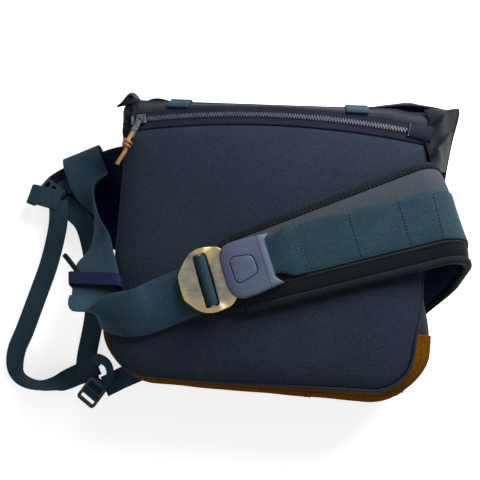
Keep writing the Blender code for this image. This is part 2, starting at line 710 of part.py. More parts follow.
buckle_piece("buckle_base", rounded(HOUSING, HOUSING, HOUSING_R), 0.0, BASE_T, SLATE)
housing_line = rounded(HOUSING, HOUSING, HOUSING_R)
housing = buckle_piece("buckle_housing", housing_line, BASE_T + GAP, HOUSING_TOP, SLATE)
room_line = box((-HOUSING, -ROOM_HALF), (HOUSING / 2 - HOUSING_WALL, ROOM_HALF))
room = buckle_piece("room", room_line, -5.0, CEILING_Z, SLATE)
boolean(housing, room, "DIFFERENCE")
hole_w = BUTTON + 2 * BUTTON_FIT
well_line = rounded(hole_w, hole_w, BUTTON_R + BUTTON_FIT)
well = buckle_piece("well", well_line, CEILING_Z - 3.7, HOUSING_TOP + 5.0, SLATE)
boolean(housing, well, "DIFFERENCE")
buckle_piece("push_button", rounded(BUTTON, BUTTON, BUTTON_R), BUTTON_Z[0], BUTTON_Z[1], SLATE)
TOOTH_TOP = TONGUE_Z + TONGUE_T - 0.4
LATCH_TOP = LATCH_Z + LATCH_T
plate = rounded(2 * LATCH_HALF[0], 2 * LATCH_HALF[1], 2.0, 2)
latch = buckle_piece("latch_plate", plate, LATCH_Z, LATCH_TOP, STEEL)
tooth = buckle_piece("tooth", rounded(TOOTH, TOOTH, 1.0, 2), LATCH_Z + 0.5, TOOTH_TOP, STEEL)
boolean(latch, tooth, "UNION")
for sign in (-1, 1):
    low, high = sorted((sign * POST[0], sign * POST[1]))
    post = buckle_piece("post", box((-4.0, low), (4.0, high)), LATCH_Z + 0.5, BUTTON_Z[0] - GAP, STEEL)
    boolean(latch, post, "UNION")

# Leaf spring: an arched strip between the base and the latch.
arch_x = np.linspace(-8.0, 8.0, 9)
arch_z = SPRING_Z[0] + (SPRING_Z[1] - SPRING_Z[0] - SPRING_T) * np.cos(arch_x / 8.0 * math.pi / 2)
arch = []
for thick in (SPRING_T, 0.0):
    arch.append(np.array([[(x, y, z + thick) for y in (-4.0, 4.0)] for x, z in zip(arch_x, arch_z)]))
slab("latch_spring", arch[0] @ BUCKLE[0].T + BUCKLE[1], arch[1] @ BUCKLE[0].T + BUCKLE[1], STEEL, PULL_END)

BRASS_OUTLINE = [
    (TONGUE_END, -TONGUE_HALF), (TONGUE_END, TONGUE_HALF), (BRASS_RIGHT, TONGUE_HALF),
    (BRASS_RIGHT, 26.0), (-34.0, BRASS_HALF), (-54.0, BRASS_HALF), (-66.0, 19.0), (BRASS_LEFT, 10.0),
    (BRASS_LEFT, -10.0), (-66.0, -19.0), (-54.0, -BRASS_HALF), (-34.0, -BRASS_HALF),
    (BRASS_RIGHT, -26.0), (BRASS_RIGHT, -TONGUE_HALF),
]
TONGUE_TOP = TONGUE_Z + TONGUE_T
brass = buckle_piece("brass_buckle", BRASS_OUTLINE, TONGUE_Z, TONGUE_TOP, BRASS)
CHEEK_HALF = 31.5
cheek_line = box((SLOT_A[0] - 4, -CHEEK_HALF), (SLOT_A[1] + 3, CHEEK_HALF))
cheeks = buckle_piece("cheeks", cheek_line, TONGUE_TOP - 1.0, TONGUE_TOP + CHEEK_H, BRASS)
boolean(brass, cheeks, "UNION")
slot_line = rounded(SLOT_A[1] - SLOT_A[0], 2 * SLOT_HALF, 2.0, 2, (sum(SLOT_A) / 2, 0))
slot = buckle_piece("slot", slot_line, -5.0, 30.0, BRASS)
boolean(brass, slot, "DIFFERENCE")
for low, high in ((SLOT_A[0] - 9, SLOT_A[0] - 0.01), (SLOT_A[1] + 0.01, SLOT_A[1] + 9)):
    clear = buckle_piece("clear", box((low, -SLOT_HALF + 1), (high, SLOT_HALF - 1)), TONGUE_TOP, 30.0, BRASS)
    boolean(brass, clear, "DIFFERENCE")
window = buckle_piece("window", rounded(WINDOW, WINDOW, 1.5, 2), -5.0, 30.0, BRASS)
boolean(brass, window, "DIFFERENCE")

ACROSS_BAR = BUCKLE[0] @ np.array(((1, 0, 0), (0, 0, 1), (0, 1, 0)), float)
BAR_AT = BUCKLE[0] @ np.array((sum(SLOT_A) / 2, 0.0, TONGUE_TOP + 0.5)) + BUCKLE_AT
BAR_FRAME = (ACROSS_BAR, BAR_AT)
circle = [(BAR_R * math.cos(a), BAR_R * math.sin(a)) for a in np.linspace(0, 2 * math.pi, 13)[:-1]]
BAR_END = SLOT_HALF - GAP
prism("buckle_bar", circle, -BAR_END, BAR_END, BRASS, PULL_END, BAR_FRAME)
turns = np.linspace(math.radians(-50), math.radians(230), 15)
wrap = [((BAR_R + GAP) * math.cos(a), (BAR_R + GAP) * math.sin(a)) for a in turns]
wrap += [((BAR_R + GAP + WEB_T) * math.cos(a), (BAR_R + GAP + WEB_T) * math.sin(a)) for a in turns[::-1]]
prism("bar_webbing", wrap, -WEB_W / 2, WEB_W / 2, WEBBING, PULL_END, BAR_FRAME)

# Wing on the left gusset: lining, foam and cover in one outline, bound round its edge.

WING = np.array((
    (-166.0, 132.0), (-194.0, 134.0), (-225.0, 124.0), (-262.0, 106.0), (-286.0, 90.0), (-291.0, 80.0),
    (-285.0, 64.0), (-262.0, 45.0), (-236.0, 26.0), (-208.0, 12.0), (-190.0, 6.0), (-162.2, 2.0),
))
wing_step = np.gradient(WING, axis=0)
wing_out = np.column_stack([wing_step[:, 1], -wing_step[:, 0]]) / np.linalg.norm(wing_step, axis=1)[:, None]
wing_out = wing_out * np.where((wing_out * (WING - WING.mean(axis=0))).sum(axis=1) < 0, -1, 1)[:, None]
for end in (0, -1):
    wing_out[end] = (0.0, math.copysign(1.0, wing_out[end][1]))
WING_LOW, WING_TOP = WING_Z
prism("wing_cover", WING, WING_LOW, WING_LOW + WING_SKIN, NYLON)
prism("wing_foam", WING, WING_LOW + WING_SKIN + GAP, WING_TOP - WING_SKIN - GAP, FOAM)
prism("wing_lining", WING, WING_TOP - WING_SKIN, WING_TOP, LINING)
rim = []
for z in (WING_TOP, WING_LOW):
    rim.append(np.array([[(*(p + n * GAP), z), (*(p + n * BINDING_W), z)] for p, n in zip(WING, wing_out)]))
slab("wing_binding", rim[0], rim[1], BINDING)


def frame_piece(name, at, angle, size, bars, surface):
    """A flat plastic frame with slots side by side and a bar between each two."""
    length, width, thick = size
    where = turned(angle, at)
    made = prism(name, rounded(length, width, 4.0, 3), 0.0, thick, surface, at, where)
    for low, high in bars:
        hole = box((low, -width / 2 + 3.5), (high, width / 2 - 3.5))
        gap = prism("gap", hole, -5.0, thick + 5.0, surface, at, where)
        boolean(made, gap, "DIFFERENCE")
    return made


frame_piece("ladder_lock", LOCK_AT, LOCK_ANGLE, LOCK_SIZE, ((-12.0, -6.0), (-1.5, 4.0), (8.0, 13.0)), SLATE)
frame_piece("tri_glide", GLIDE_AT, GLIDE_ANGLE, GLIDE_SIZE, ((-11.0, -3.0), (3.0, 11.0)), SLATE)


def ribbon_frames(keys, steps):
    """Points along the webbing, its width direction and its face, smoothed through the keys."""
    at = np.array([k[0] for k in keys], float)
    width = np.array([k[1] for k in keys], float)
    joined = np.hstack([at, width])
    padded = np.vstack([2 * joined[0] - joined[1], joined, 2 * joined[-1] - joined[-2]])
    rows = []
    for k in range(len(keys) - 1):
        a, b, c, d = padded[k : k + 4]
        for t in np.linspace(0, 1, steps + 1)[: None if k == len(keys) - 2 else -1]:
            rows.append(
                b
                + (c - a) * t / 2
                + (2 * a - 5 * b + 4 * c - d) * t * t / 2
                + (3 * b - a - 3 * c + d) * t ** 3 / 2
            )
    rows = np.array(rows)
    centre = rows[:, :3]
    step = np.gradient(centre, axis=0)
    step = step / np.linalg.norm(step, axis=1)[:, None]
    side = rows[:, 3:] - step * (rows[:, 3:] * step).sum(axis=1)[:, None]
    side = side / np.linalg.norm(side, axis=1)[:, None]
    return centre, side, np.cross(step, side)


def ribbon(name, keys, width, thick, surface, steps=4):
    """Webbing along a route of hand-set points."""
    centre, side, face = ribbon_frames(keys, steps)
    grids = []
    for lift in (thick / 2, -thick / 2):
        edges = (-width / 2, width / 2)
        rows = [[c + s * w + f * lift for w in edges] for c, s, f in zip(centre, side, face)]
        grids.append(np.array(rows))
    return slab(name, grids[0], grids[1], surface)


MAIN_KEYS = (
    ((-50, -38, 121.5), (0.36, -0.93, 0)),
    ((-95, -60, 117), (0.37, -0.92, -0.15)),
    ((-118, -72, 119), (0.37, -0.85, -0.38)),
    ((-139, -77, 120), (0.33, -0.8, -0.5)),
    ((-159, -80, 119), (0.1, -0.6, -0.8)),
    ((-168, -73, 118), (0.6, -0.3, -0.55)),
    ((-168, -60, 115), (0.95, 0, -0.1)),
    ((-172.5, -44, 109.6), (0.95, 0.2, 0.02)),
    ((-184, -20, 94), (0.88, 0.1, 0.4)),
    ((-192, 3, 77), (0.6, -0.14, 0.79)),
    ((-202, 30, 62), (0.4, -0.13, 0.91)),
    ((-212, 55, 49), (0.4, 0.05, 0.91)),
    ((-228, 84, 33), (0.9, 0.44, 0)),
    ((-243, 108, 26), (0.9, 0.44, 0)),
    ((-250, 122, 20.5), (0.9, 0.44, 0)),
    ((-252, 127, 12), (0.9, 0.44, 0)),
    ((-250, 122, 4), (0.9, 0.44, 0)),
    ((-243, 108, 4), (0.9, 0.44, 0)),
    ((-234, 90, 5.8), (0.9, 0.44, 0)),
)
INNER_KEYS = (
    ((-205, -160, 7.8), (0.96, -0.3, 0)),
    ((-213, -137, 6.5), (0.99, -0.12, 0)),
    ((-211, -89, 5), (1, -0.03, 0)),
    ((-212, -56, 6), (1, 0.07, 0)),
    ((-215, -22, 14), (1, 0.1, 0)),
    ((-220, 5, 21), (0.9, 0.44, 0)),
    ((-233, 32, 21), (0.69, 0.72, 0)),
    ((-251, 47.3, 21), (0.53, 0.85, 0)),
    ((-266.1, 56.7, 21), (0.53, 0.85, 0)),
)
OUTER_KEYS = (
    ((-268, 57, 26.2), (0.99, 0.1, 0)),
    ((-265, 42, 26), (0.99, -0.1, 0)),
    ((-266, 24, 22), (0.97, -0.2, 0)),
    ((-274, -3, 10), (0.96, -0.27, 0)),
    ((-281, -29, 4), (0.95, -0.3, 0)),
    ((-290, -67, 3), (0.95, -0.3, 0)),
    ((-299, -106, 3), (0.96, -0.25, 0)),
    ((-305, -130, 4), (0.99, -0.05, 0.05)),
    ((-301, -150, 8), (0.88, 0.4, 0.2)),
    ((-286, -164, 13), (0.45, 0.65, 0.59)),
    ((-263, -168.5, 14), (0.08, 0.58, 0.81)),
    ((-245, -165, 12), (-0.3, 0.6, 0.74)),
    ((-231, -158, 4.6), (-0.45, 0.85, 0.25)),
    ((-215, -148.5, 2.2), (-0.5, 0.86, 0)),
    ((-200, -139.5, 2.2), (-0.5, 0.86, 0)),
)
CORNER_KEYS = (
    ((-141.5, -139.5, 17), (0.5, -0.85, 0.1)),
    ((-162, -150, 13), (0.5, -0.86, 0.05)),
    ((-176, -158, 8), (0.5, -0.86, 0)),
    ((-186.5, -164, 5.6), (0.5, -0.86, 0)),
)
TAIL_W = 15.0
TAIL_KEYS = (
    ((-186, -162, 14.6), (0.8, 0.3, 0.5)),
    ((-177, -149, 19), (0.75, 0.3, 0.6)),
    ((-181, -136, 20), (0.55, 0.6, 0.6)),
    ((-193, -131, 18), (0.2, 0.78, 0.6)),
    ((-200, -137, 14), (0.1, 0.8, 0.6)),
)
LOOP_KEYS = (
    ((-265, 57, 28.2), (0.2, 0.98, 0)),
    ((-284, 61, 28.2), (0.2, 0.98, 0)),
    ((-301, 64.5, 27.6), (0.2, 0.98, 0)),
    ((-309, 66, 22), (0.2, 0.98, 0)),
    ((-309, 66, 14), (0.2, 0.98, 0)),
    ((-304, 65, 9), (0.2, 0.98, 0)),
)
LOCK_TAB = (
    ((-258, 82, 18.6), (0.57, -0.82, 0)),
    ((-270, 74, 18.6), (0.57, -0.82, 0)),
    ((-280, 67, 18.6), (0.57, -0.82, 0)),
)
ribbon("main_webbing", MAIN_KEYS, WEB_W, WEB_T, WEBBING)
ribbon("stabiliser_inner", INNER_KEYS, STAB_W, STAB_T, WEBBING)
ribbon("stabiliser_outer", OUTER_KEYS, STAB_W, STAB_T, WEBBING)
ribbon("corner_tab", CORNER_KEYS, STAB_W, STAB_T, WEBBING)
ribbon("stabiliser_tail", TAIL_KEYS, TAIL_W, STAB_T, WEBBING)
ribbon("lock_loop", LOOP_KEYS, STAB_W, STAB_T, WEBBING)
ribbon("lock_tab", LOCK_TAB, STAB_W - 4.0, 1.2, WEBBING)

# Keeper: a loop of cloth round the webbing beside the bag.
KEEPER_KEY = 7
KEEPER_L = 12.0
KEEPER_ROOM = 5.0
KEEPER_T = 1.4
KEEPER_SLANT = 0.38       # it lies askew on the webbing
centre, side, face = ribbon_frames(MAIN_KEYS, 4)
k = KEEPER_KEY * 4
heading = np.cross(side[k], face[k])
ring = []
for grow in (KEEPER_T, 0.0):
    w = WEB_W / 2 + 1.5 + grow
    h = WEB_T / 2 + KEEPER_ROOM + grow
    across = side[k] - heading * KEEPER_SLANT
    ring.append([across * x + face[k] * z for x, z in ((-w, -h), (w, -h), (w, h), (-w, h))])
points = []
for along in (-KEEPER_L / 2, KEEPER_L / 2):
    for loop in ring:
        points += [centre[k] + heading * along + p for p in loop]
faces = []
for i in range(4):
    j = (i + 1) % 4
    faces += [(i, j, 8 + j, 8 + i), (4 + i, 4 + j, 12 + j, 12 + i)]
    faces += [(i, j, 4 + j, 4 + i), (8 + i, 8 + j, 12 + j, 12 + i)]
make("webbing_keeper", points, faces, LINING)
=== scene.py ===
import math
import bmesh
import bpy
import numpy as np
from mathutils import Matrix


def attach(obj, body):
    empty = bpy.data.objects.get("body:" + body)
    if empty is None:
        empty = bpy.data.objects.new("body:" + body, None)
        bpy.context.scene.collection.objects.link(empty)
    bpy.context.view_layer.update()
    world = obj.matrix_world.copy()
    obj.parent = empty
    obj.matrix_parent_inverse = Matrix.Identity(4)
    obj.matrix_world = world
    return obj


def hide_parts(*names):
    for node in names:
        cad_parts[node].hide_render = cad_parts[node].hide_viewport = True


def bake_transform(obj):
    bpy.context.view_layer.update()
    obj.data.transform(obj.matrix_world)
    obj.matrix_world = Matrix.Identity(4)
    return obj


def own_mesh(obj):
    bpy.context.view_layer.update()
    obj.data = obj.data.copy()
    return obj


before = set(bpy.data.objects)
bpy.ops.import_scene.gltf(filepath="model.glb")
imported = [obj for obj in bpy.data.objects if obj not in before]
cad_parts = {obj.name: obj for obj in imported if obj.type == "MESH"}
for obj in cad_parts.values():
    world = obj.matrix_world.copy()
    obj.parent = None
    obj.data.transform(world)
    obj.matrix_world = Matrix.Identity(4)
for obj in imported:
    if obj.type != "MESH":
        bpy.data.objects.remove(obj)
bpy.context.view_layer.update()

# Table and studio. The bag lies on a white table under a soft light from beyond its top edge and
# a weak one from below it. The camera looks down on it from about half a metre.
TABLE_Z, TABLE_GLOW, SKY_LIGHT = -0.0006, 0.72, 0.14
VIEW_FROM = (0.0226, -0.0734, 0.5922)
VIEW_RIGHT = (0.9931, 0.0782, -0.0872)
VIEW_UP = (-0.0622, 0.9831, 0.1723)
VIEW_BACK = (0.0992, -0.1657, 0.9812)


def principled(name):
    """A new material and its Principled BSDF node."""
    made = bpy.data.materials.new(name)
    made.use_nodes = True
    return made, made.node_tree.nodes["Principled BSDF"]


def put(name, points, faces, uv=None, rounded=True, material=None):
    """A mesh object from points and faces: joined where points meet, with its faces turned outwards."""
    mesh = bpy.data.meshes.new(name)
    faces = faces.tolist() if isinstance(faces, np.ndarray) else faces
    mesh.from_pydata(np.asarray(points, float).reshape(-1, 3).tolist(), [], faces)
    if uv is not None:
        layer = mesh.uv_layers.new(name="UVMap")
        corner = np.empty(len(mesh.loops), np.int32)
        mesh.loops.foreach_get("vertex_index", corner)
        layer.data.foreach_set("uv", np.asarray(uv, np.float32).reshape(-1, 2)[corner].ravel())
    work = bmesh.new()
    work.from_mesh(mesh)
    bmesh.ops.remove_doubles(work, verts=work.verts, dist=1e-6)
    bmesh.ops.recalc_face_normals(work, faces=work.faces)
    work.to_mesh(mesh)
    work.free()
    mesh.polygons.foreach_set("use_smooth", np.full(len(mesh.polygons), rounded))
    made = bpy.data.objects.new(name, mesh)
    bpy.context.scene.collection.objects.link(made)
    if material:
        mesh.materials.append(material)
    return made


floor = put("table", [(-4, -4, TABLE_Z), (4, -4, TABLE_Z), (4, 4, TABLE_Z), (-4, 4, TABLE_Z)], [(0, 1, 2, 3)])
table_white, table_shader = principled("table_white")
table_shader.inputs["Base Color"].default_value = (0.93, 0.93, 0.93, 1)
table_shader.inputs["Roughness"].default_value = 0.9
table_shader.inputs["Specular IOR Level"].default_value = 0.1


def direct_view(tree):
    """The socket that is 1 for rays that show the studio itself: seen, mirrored or through glass."""
    path = tree.nodes.new("ShaderNodeLightPath")
    mirrored = tree.nodes.new("ShaderNodeMath")
    mirrored.operation = "MAXIMUM"
    tree.links.new(path.outputs["Is Glossy Ray"], mirrored.inputs[0])
    tree.links.new(path.outputs["Is Transmission Ray"], mirrored.inputs[1])
    either = tree.nodes.new("ShaderNodeMath")
    either.operation = "MAXIMUM"
    tree.links.new(path.outputs["Is Camera Ray"], either.inputs[0])
    tree.links.new(mirrored.outputs[0], either.inputs[1])
    return either.outputs[0]


table_shader.inputs["Emission Color"].default_value = (1, 1, 1, 1)
lift = table_white.node_tree.nodes.new("ShaderNodeMath")
lift.operation = "MULTIPLY"
lift.inputs[1].default_value = TABLE_GLOW
table_white.node_tree.links.new(direct_view(table_white.node_tree), lift.inputs[0])
table_white.node_tree.links.new(lift.outputs[0], table_shader.inputs["Emission Strength"])
floor.data.materials.append(table_white)

camera_data = bpy.data.cameras.new("camera")
camera_data.sensor_width = 36.0
camera_data.lens = 36.0 * 481.0 / 480.0
camera = bpy.data.objects.new("camera", camera_data)
pose = np.eye(4)
pose[:3, :3] = np.array((VIEW_RIGHT, VIEW_UP, VIEW_BACK)).T
pose[:3, 3] = VIEW_FROM
camera.matrix_world = Matrix(pose.tolist())
bpy.context.scene.collection.objects.link(camera)
bpy.context.scene.camera = camera
bpy.context.scene.view_settings.view_transform = "Standard"


def lamp(name, place, target, size, power):
    """A square soft light at a place, facing a target."""
    data = bpy.data.lights.new(name, "AREA")
    data.size = size
    data.energy = power
    made = bpy.data.objects.new(name, data)
    look = np.asarray(target, float) - np.asarray(place, float)
    back = -look / np.linalg.norm(look)
    right = np.cross((0.0, 1.0, 0.001), back)
    right = right / np.linalg.norm(right)
    turn = np.eye(4)
    turn[:3, :3] = np.array((right, np.cross(back, right), back)).T
    turn[:3, 3] = place
    made.matrix_world = Matrix(turn.tolist())
    bpy.context.scene.collection.objects.link(made)


lamp("key", (0.37, 0.57, 0.52), (0.06, 0.05, 0.08), 0.5, 9.9)
lamp("fill", (0.25, -1.1, 0.75), (0.05, 0, 0.05), 1.2, 2.6)
world = bpy.data.worlds.new("studio")
bpy.context.scene.world = world
world.use_nodes = True
world.node_tree.nodes["Background"].inputs["Color"].default_value = (1, 1, 1, 1)
bright = world.node_tree.nodes.new("ShaderNodeMath")
bright.operation = "MULTIPLY_ADD"
bright.inputs[1].default_value = 1 - SKY_LIGHT
bright.inputs[2].default_value = SKY_LIGHT
world.node_tree.links.new(direct_view(world.node_tree), bright.inputs[0])
world.node_tree.links.new(bright.outputs[0], world.node_tree.nodes["Background"].inputs["Strength"])

# Cloth in general. Every fabric here is woven: two sets of thread cross, and the finish only
# changes how thick, how slanted and how dark they are, so one weave and one fading serve all.


def group(name, inputs, outputs):
    """A shader node group with the named float, vector or colour sockets."""
    tree = bpy.data.node_groups.new(name, "ShaderNodeTree")
    kinds = {"f": "NodeSocketFloat", "v": "NodeSocketVector", "c": "NodeSocketColor"}
    for label, kind in inputs:
        tree.interface.new_socket(label, in_out="INPUT", socket_type=kinds[kind])
    for label, kind in outputs:
        tree.interface.new_socket(label, in_out="OUTPUT", socket_type=kinds[kind])
    return tree, tree.nodes.new("NodeGroupInput").outputs, tree.nodes.new("NodeGroupOutput").inputs


def calc(tree, operation, a, b=None, c=None):
    """A Math node; each input is a socket or a number. Returns its result."""
    node = tree.nodes.new("ShaderNodeMath")
    node.operation = operation
    for place, value in zip(node.inputs, (a, b, c)):
        if value is None:
            continue
        if isinstance(value, (int, float)):
            place.default_value = value
        else:
            tree.links.new(value, place)
    return node.outputs[0]


def blend_colour(tree, factor, a, b, mode="MIX"):
    """A colour mix; a and b are sockets or colours. Returns its result."""
    node = tree.nodes.new("ShaderNodeMix")
    node.data_type = "RGBA"
    node.blend_type = mode
    for place, value in ((node.inputs[0], factor), (node.inputs[6], a), (node.inputs[7], b)):
        if isinstance(value, (int, float)):
            place.default_value = value
        elif isinstance(value, tuple):
            place.default_value = (*value, 1.0)
        else:
            tree.links.new(value, place)
    return node.outputs[2]


# Threads: height = 0.5 + 0.25 sin(2 pi (across x + slant y)) + 0.25 sin(2 pi (along y - slant x)).
weave, ins, outs = group(
    "woven_threads", [("Vector", "v"), ("Across", "f"), ("Along", "f"), ("Slant", "f")], [("Height", "f")]
)
split = weave.nodes.new("ShaderNodeSeparateXYZ")
weave.links.new(ins[0], split.inputs[0])
across_x = calc(weave, "MULTIPLY", split.outputs[0], ins[1])
turn_x = calc(weave, "MULTIPLY_ADD", split.outputs[1], ins[3], across_x)
along_y = calc(weave, "MULTIPLY", split.outputs[1], ins[2])
turn_y = calc(weave, "SUBTRACT", along_y, calc(weave, "MULTIPLY", split.outputs[0], ins[3]))
wave_x = calc(weave, "SINE", calc(weave, "MULTIPLY", turn_x, 2 * math.pi))
wave_y = calc(weave, "SINE", calc(weave, "MULTIPLY", turn_y, 2 * math.pi))
both = calc(weave, "ADD", wave_x, wave_y)
weave.links.new(calc(weave, "MULTIPLY_ADD", both, 0.25, 0.5), outs[0])

# Fading: cloudy noise in the object's own space, for uneven dye, dust and rubbed places.
fading, ins, outs = group("uneven_dye", [("Vector", "v"), ("Scale", "f"), ("Detail", "f")], [("Mask", "f")])
cloud = fading.nodes.new("ShaderNodeTexNoise")
fading.links.new(ins[0], cloud.inputs["Vector"])
fading.links.new(ins[1], cloud.inputs["Scale"])
fading.links.new(ins[2], cloud.inputs["Detail"])
ramp = fading.nodes.new("ShaderNodeMapRange")
fading.links.new(cloud.outputs[0], ramp.inputs[0])
ramp.inputs[1].default_value = 0.35
ramp.inputs[2].default_value = 0.68
fading.links.new(ramp.outputs[0], outs[0])


def placed(tree, made, **values):
    """A node group placed in a material, with its plain inputs set."""
    node = tree.nodes.new("ShaderNodeGroup")
    node.node_tree = made
    for label, value in values.items():
        node.inputs[label].default_value = value
    return node


def clouds(tree, scale, detail):
    """A mask of cloudy patches over the piece's own coordinates."""
    at = tree.nodes.new("ShaderNodeTexCoord")
    patches = placed(tree, fading, Scale=scale, Detail=detail)
    tree.links.new(at.outputs["Object"], patches.inputs["Vector"])
    return patches.outputs[0]


def raised(tree, shader, height, strength, depth):
    """Lifts the surface by a mask, by depth metres where the mask is 1."""
    bump = tree.nodes.new("ShaderNodeBump")
    bump.inputs["Strength"].default_value = strength
    bump.inputs["Distance"].default_value = depth
    tree.links.new(height, bump.inputs["Height"])
    tree.links.new(bump.outputs[0], shader.inputs["Normal"])


def woven(name, thread, gap, faded, threads, rough=0.8, depth=0.0003, strength=0.6, cloud=22.0):
    """Cloth: thread colour on the crowns of the weave, gap colour between, faded in clouds.

    threads is (across, along, slant) in threads a metre, measured on the piece's own UV.
    """
    made, shader = principled(name)
    tree = made.node_tree
    uv = tree.nodes.new("ShaderNodeTexCoord")
    cross = placed(tree, weave, Across=threads[0], Along=threads[1], Slant=threads[2])
    tree.links.new(uv.outputs["UV"], cross.inputs["Vector"])
    crown = blend_colour(tree, clouds(tree, cloud, 4.0), thread, faded)
    crossing = calc(tree, "MULTIPLY", cross.outputs[0], 0.7)
    speck = calc(tree, "MULTIPLY_ADD", clouds(tree, 420.0, 2.0), 0.3, crossing)
    tree.links.new(blend_colour(tree, speck, gap, crown), shader.inputs["Base Color"])
    shader.inputs["Roughness"].default_value = rough
    shader.inputs["Specular IOR Level"].default_value = 0.05
    raised(tree, shader, speck, strength, depth)
    return made


# Back panel. Diagonal-woven nylon over foam: flat in the middle, rolled down to a seam all
# round, with the top edge curved to the zip.
HALF_BOTTOM, HALF_TOP, BOTTOM_Y, SHOULDER_Y, CORNER_R = 0.156, 0.164, -0.136, 0.125, 0.046
BACK_SEAM_Z, FRONT_SEAM_Z = 0.093, 0.007
ZIP_R, ZIP_X, ZIP_CREST_Y, ZIP_Z = 0.9, -0.006, 0.149, 0.0998


def quads(rows, columns, wrap=False):
    """Corner indices of a grid of points, row after row; wrap joins the last column to the first."""
    across = columns if wrap else columns - 1
    i, j = np.meshgrid(np.arange(rows - 1), np.arange(across), indexing="ij")
    a = i * columns + j
    b = i * columns + (j + 1) % columns
    return np.stack([a, b, b + columns, a + columns], axis=-1).reshape(-1, 4)


def run(points, axis):
    """Distance along a grid's rows or columns from its first one."""
    step = np.linalg.norm(np.diff(points, axis=axis), axis=-1)
    return np.cumsum(np.insert(step, 0, 0.0, axis=axis), axis=axis)


def along_zip(x, offset):
    """Points of a line that runs with the zip: centre + (R + offset)(sin a, cos a), sin a = (x - x0) / R."""
    a = np.arcsin((np.asarray(x, float) - ZIP_X) / ZIP_R)
    radius = ZIP_R + offset
    return np.stack([ZIP_X + radius * np.sin(a), ZIP_CREST_Y - ZIP_R + radius * np.cos(a)], axis=-1)


def half_width(y):
    """Half the body's width, growing evenly from the bottom seam to the shoulder."""
    return HALF_BOTTOM + (HALF_TOP - HALF_BOTTOM) * (y - BOTTOM_Y) / (SHOULDER_Y - BOTTOM_Y)


def spread(points, count):
    """The same line with its points at even distances."""
    far = run(points[:, None], 0)[:, 0]
    s = np.linspace(0, far[-1], count)
    return np.stack([np.interp(s, far, points[:, k]) for k in range(points.shape[1])], axis=-1)


def smooth(t):
    """Eases from 0 to 1: 3 t^2 - 2 t^3, held at both ends."""
    t = np.clip(t, 0, 1)
    return t * t * (3 - 2 * t)


def outward(line):
    """Level directions away from the bag along an outline."""
    out = np.gradient(line, axis=0)[:, ::-1] * (1, -1)
    out = out / np.linalg.norm(out, axis=1)[:, None]
    return out * np.sign((out * line).sum(axis=1))[:, None]


def lip(line):
    """How far the wall laps over the panel's edge: 1 mm on the left, growing to 7 mm at the lower right."""
    return 0.001 + 0.006 * smooth((line[:, 0] + 0.08) / 0.24) * smooth((-line[:, 1] - 0.04) / 0.06)


corner_y = BOTTOM_Y + CORNER_R
down = np.linspace(SHOULDER_Y, corner_y, 60)[:-1]
bend = -np.linspace(0, np.pi / 2, 40)
edge_x = half_width(corner_y)
right_half = np.concatenate([
    np.stack([half_width(down), down], axis=-1),
    np.stack([edge_x - CORNER_R + CORNER_R * np.cos(bend), corner_y + CORNER_R * np.sin(bend)], axis=-1),
    np.stack([np.linspace(edge_x - CORNER_R, 0, 30)[1:], np.full(29, BOTTOM_Y)], axis=-1),
])
both_halves = np.concatenate([right_half, (right_half * (-1, 1))[::-1][1:]])
sides = spread(both_halves, 240)
sides = sides - outward(sides) * lip(sides)[:, None]
top_edge = along_zip(np.linspace(-0.156, 0.156, 90), -0.008)
outline = np.concatenate([sides, top_edge])
outline = spread(np.concatenate([outline, outline[:1]]), 321)[:-1]

PANEL_RISE = 0.012
ring_part = 1 - np.linspace(0, 1, 60) ** 1.6
rings = ring_part[:, None, None] * outline[None]
crown = PANEL_RISE * np.sqrt(np.maximum(0, 1 - ring_part ** 6))
height = BACK_SEAM_Z + 0.0018 + crown[:, None] * np.ones(len(outline))[None]
sag = 0.0011 * np.sin(rings[..., 0] * 24 + 1.1) * np.sin(rings[..., 1] * 31 + rings[..., 0] * 9)
height = height + sag * np.minimum(1, (1 - ring_part) * 6)[:, None] - 0.0002
panel_grid = np.concatenate([rings, height[..., None]], axis=-1)
skirt = panel_grid[:1].copy()
skirt[..., 2] = BACK_SEAM_Z + 0.0004
panel_grid = np.concatenate([skirt, panel_grid])
panel_nylon = woven(
    "panel_nylon", (0.030, 0.0405, 0.066), (0.0085, 0.0115, 0.021), (0.037, 0.049, 0.076), (330, 330, 330),
    rough=0.7, depth=0.0004, strength=0.8,
)
panel_under = panel_grid[:1] * (1, 1, 0) + (0, 0, BACK_SEAM_Z - 0.004)
panel_grid = np.concatenate([panel_under * (0, 0, 1), panel_under, panel_grid])
panel_faces = quads(len(panel_grid), len(outline), wrap=True)
panel = put("back_panel", panel_grid, panel_faces, panel_grid[..., :2], True, panel_nylon)
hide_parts("back_panel_cover", "back_panel_foam")
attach(panel, "bag")

# Piping. A thin rolled edge of the panel's cloth, sewn into the seam between the panel and the
# wall of the bag.


def sweep(name, path, side, up, profile, material):
    """A closed profile, set along side and up, carried along a path; UV is round the profile and along it.

    side and up are one direction each, or one for every point of the path.
    """
    path, profile = np.asarray(path, float), np.asarray(profile, float)
    side, up = np.broadcast_to(side, path.shape), np.broadcast_to(up, path.shape)
    if profile.ndim == 2:
        profile = np.broadcast_to(profile, (len(path), *profile.shape))
    grid = path[:, None] + side[:, None] * profile[..., :1] + up[:, None] * profile[..., 1:]
    rows, columns = grid.shape[0], grid.shape[1] + 1
    grid = np.concatenate([grid, grid[:, :1]], axis=1)
    uv = np.stack([run(grid, 1), run(grid, 0)], axis=-1).reshape(-1, 2)
    ends = grid[[0, -1], :-1].mean(axis=1)
    points = np.concatenate([grid.reshape(-1, 3), ends])
    uv = np.concatenate([uv, uv[[0, -1]]])
    index = np.arange(columns - 1)
    last = (rows - 1) * columns
    caps = np.concatenate([
        np.stack([index + 1, index, np.full(columns - 1, rows * columns)], axis=-1),
        np.stack([last + index, last + index + 1, np.full(columns - 1, rows * columns + 1)], axis=-1),
    ])
    return put(name, points, quads(rows, columns).tolist() + caps.tolist(), uv, True, material)


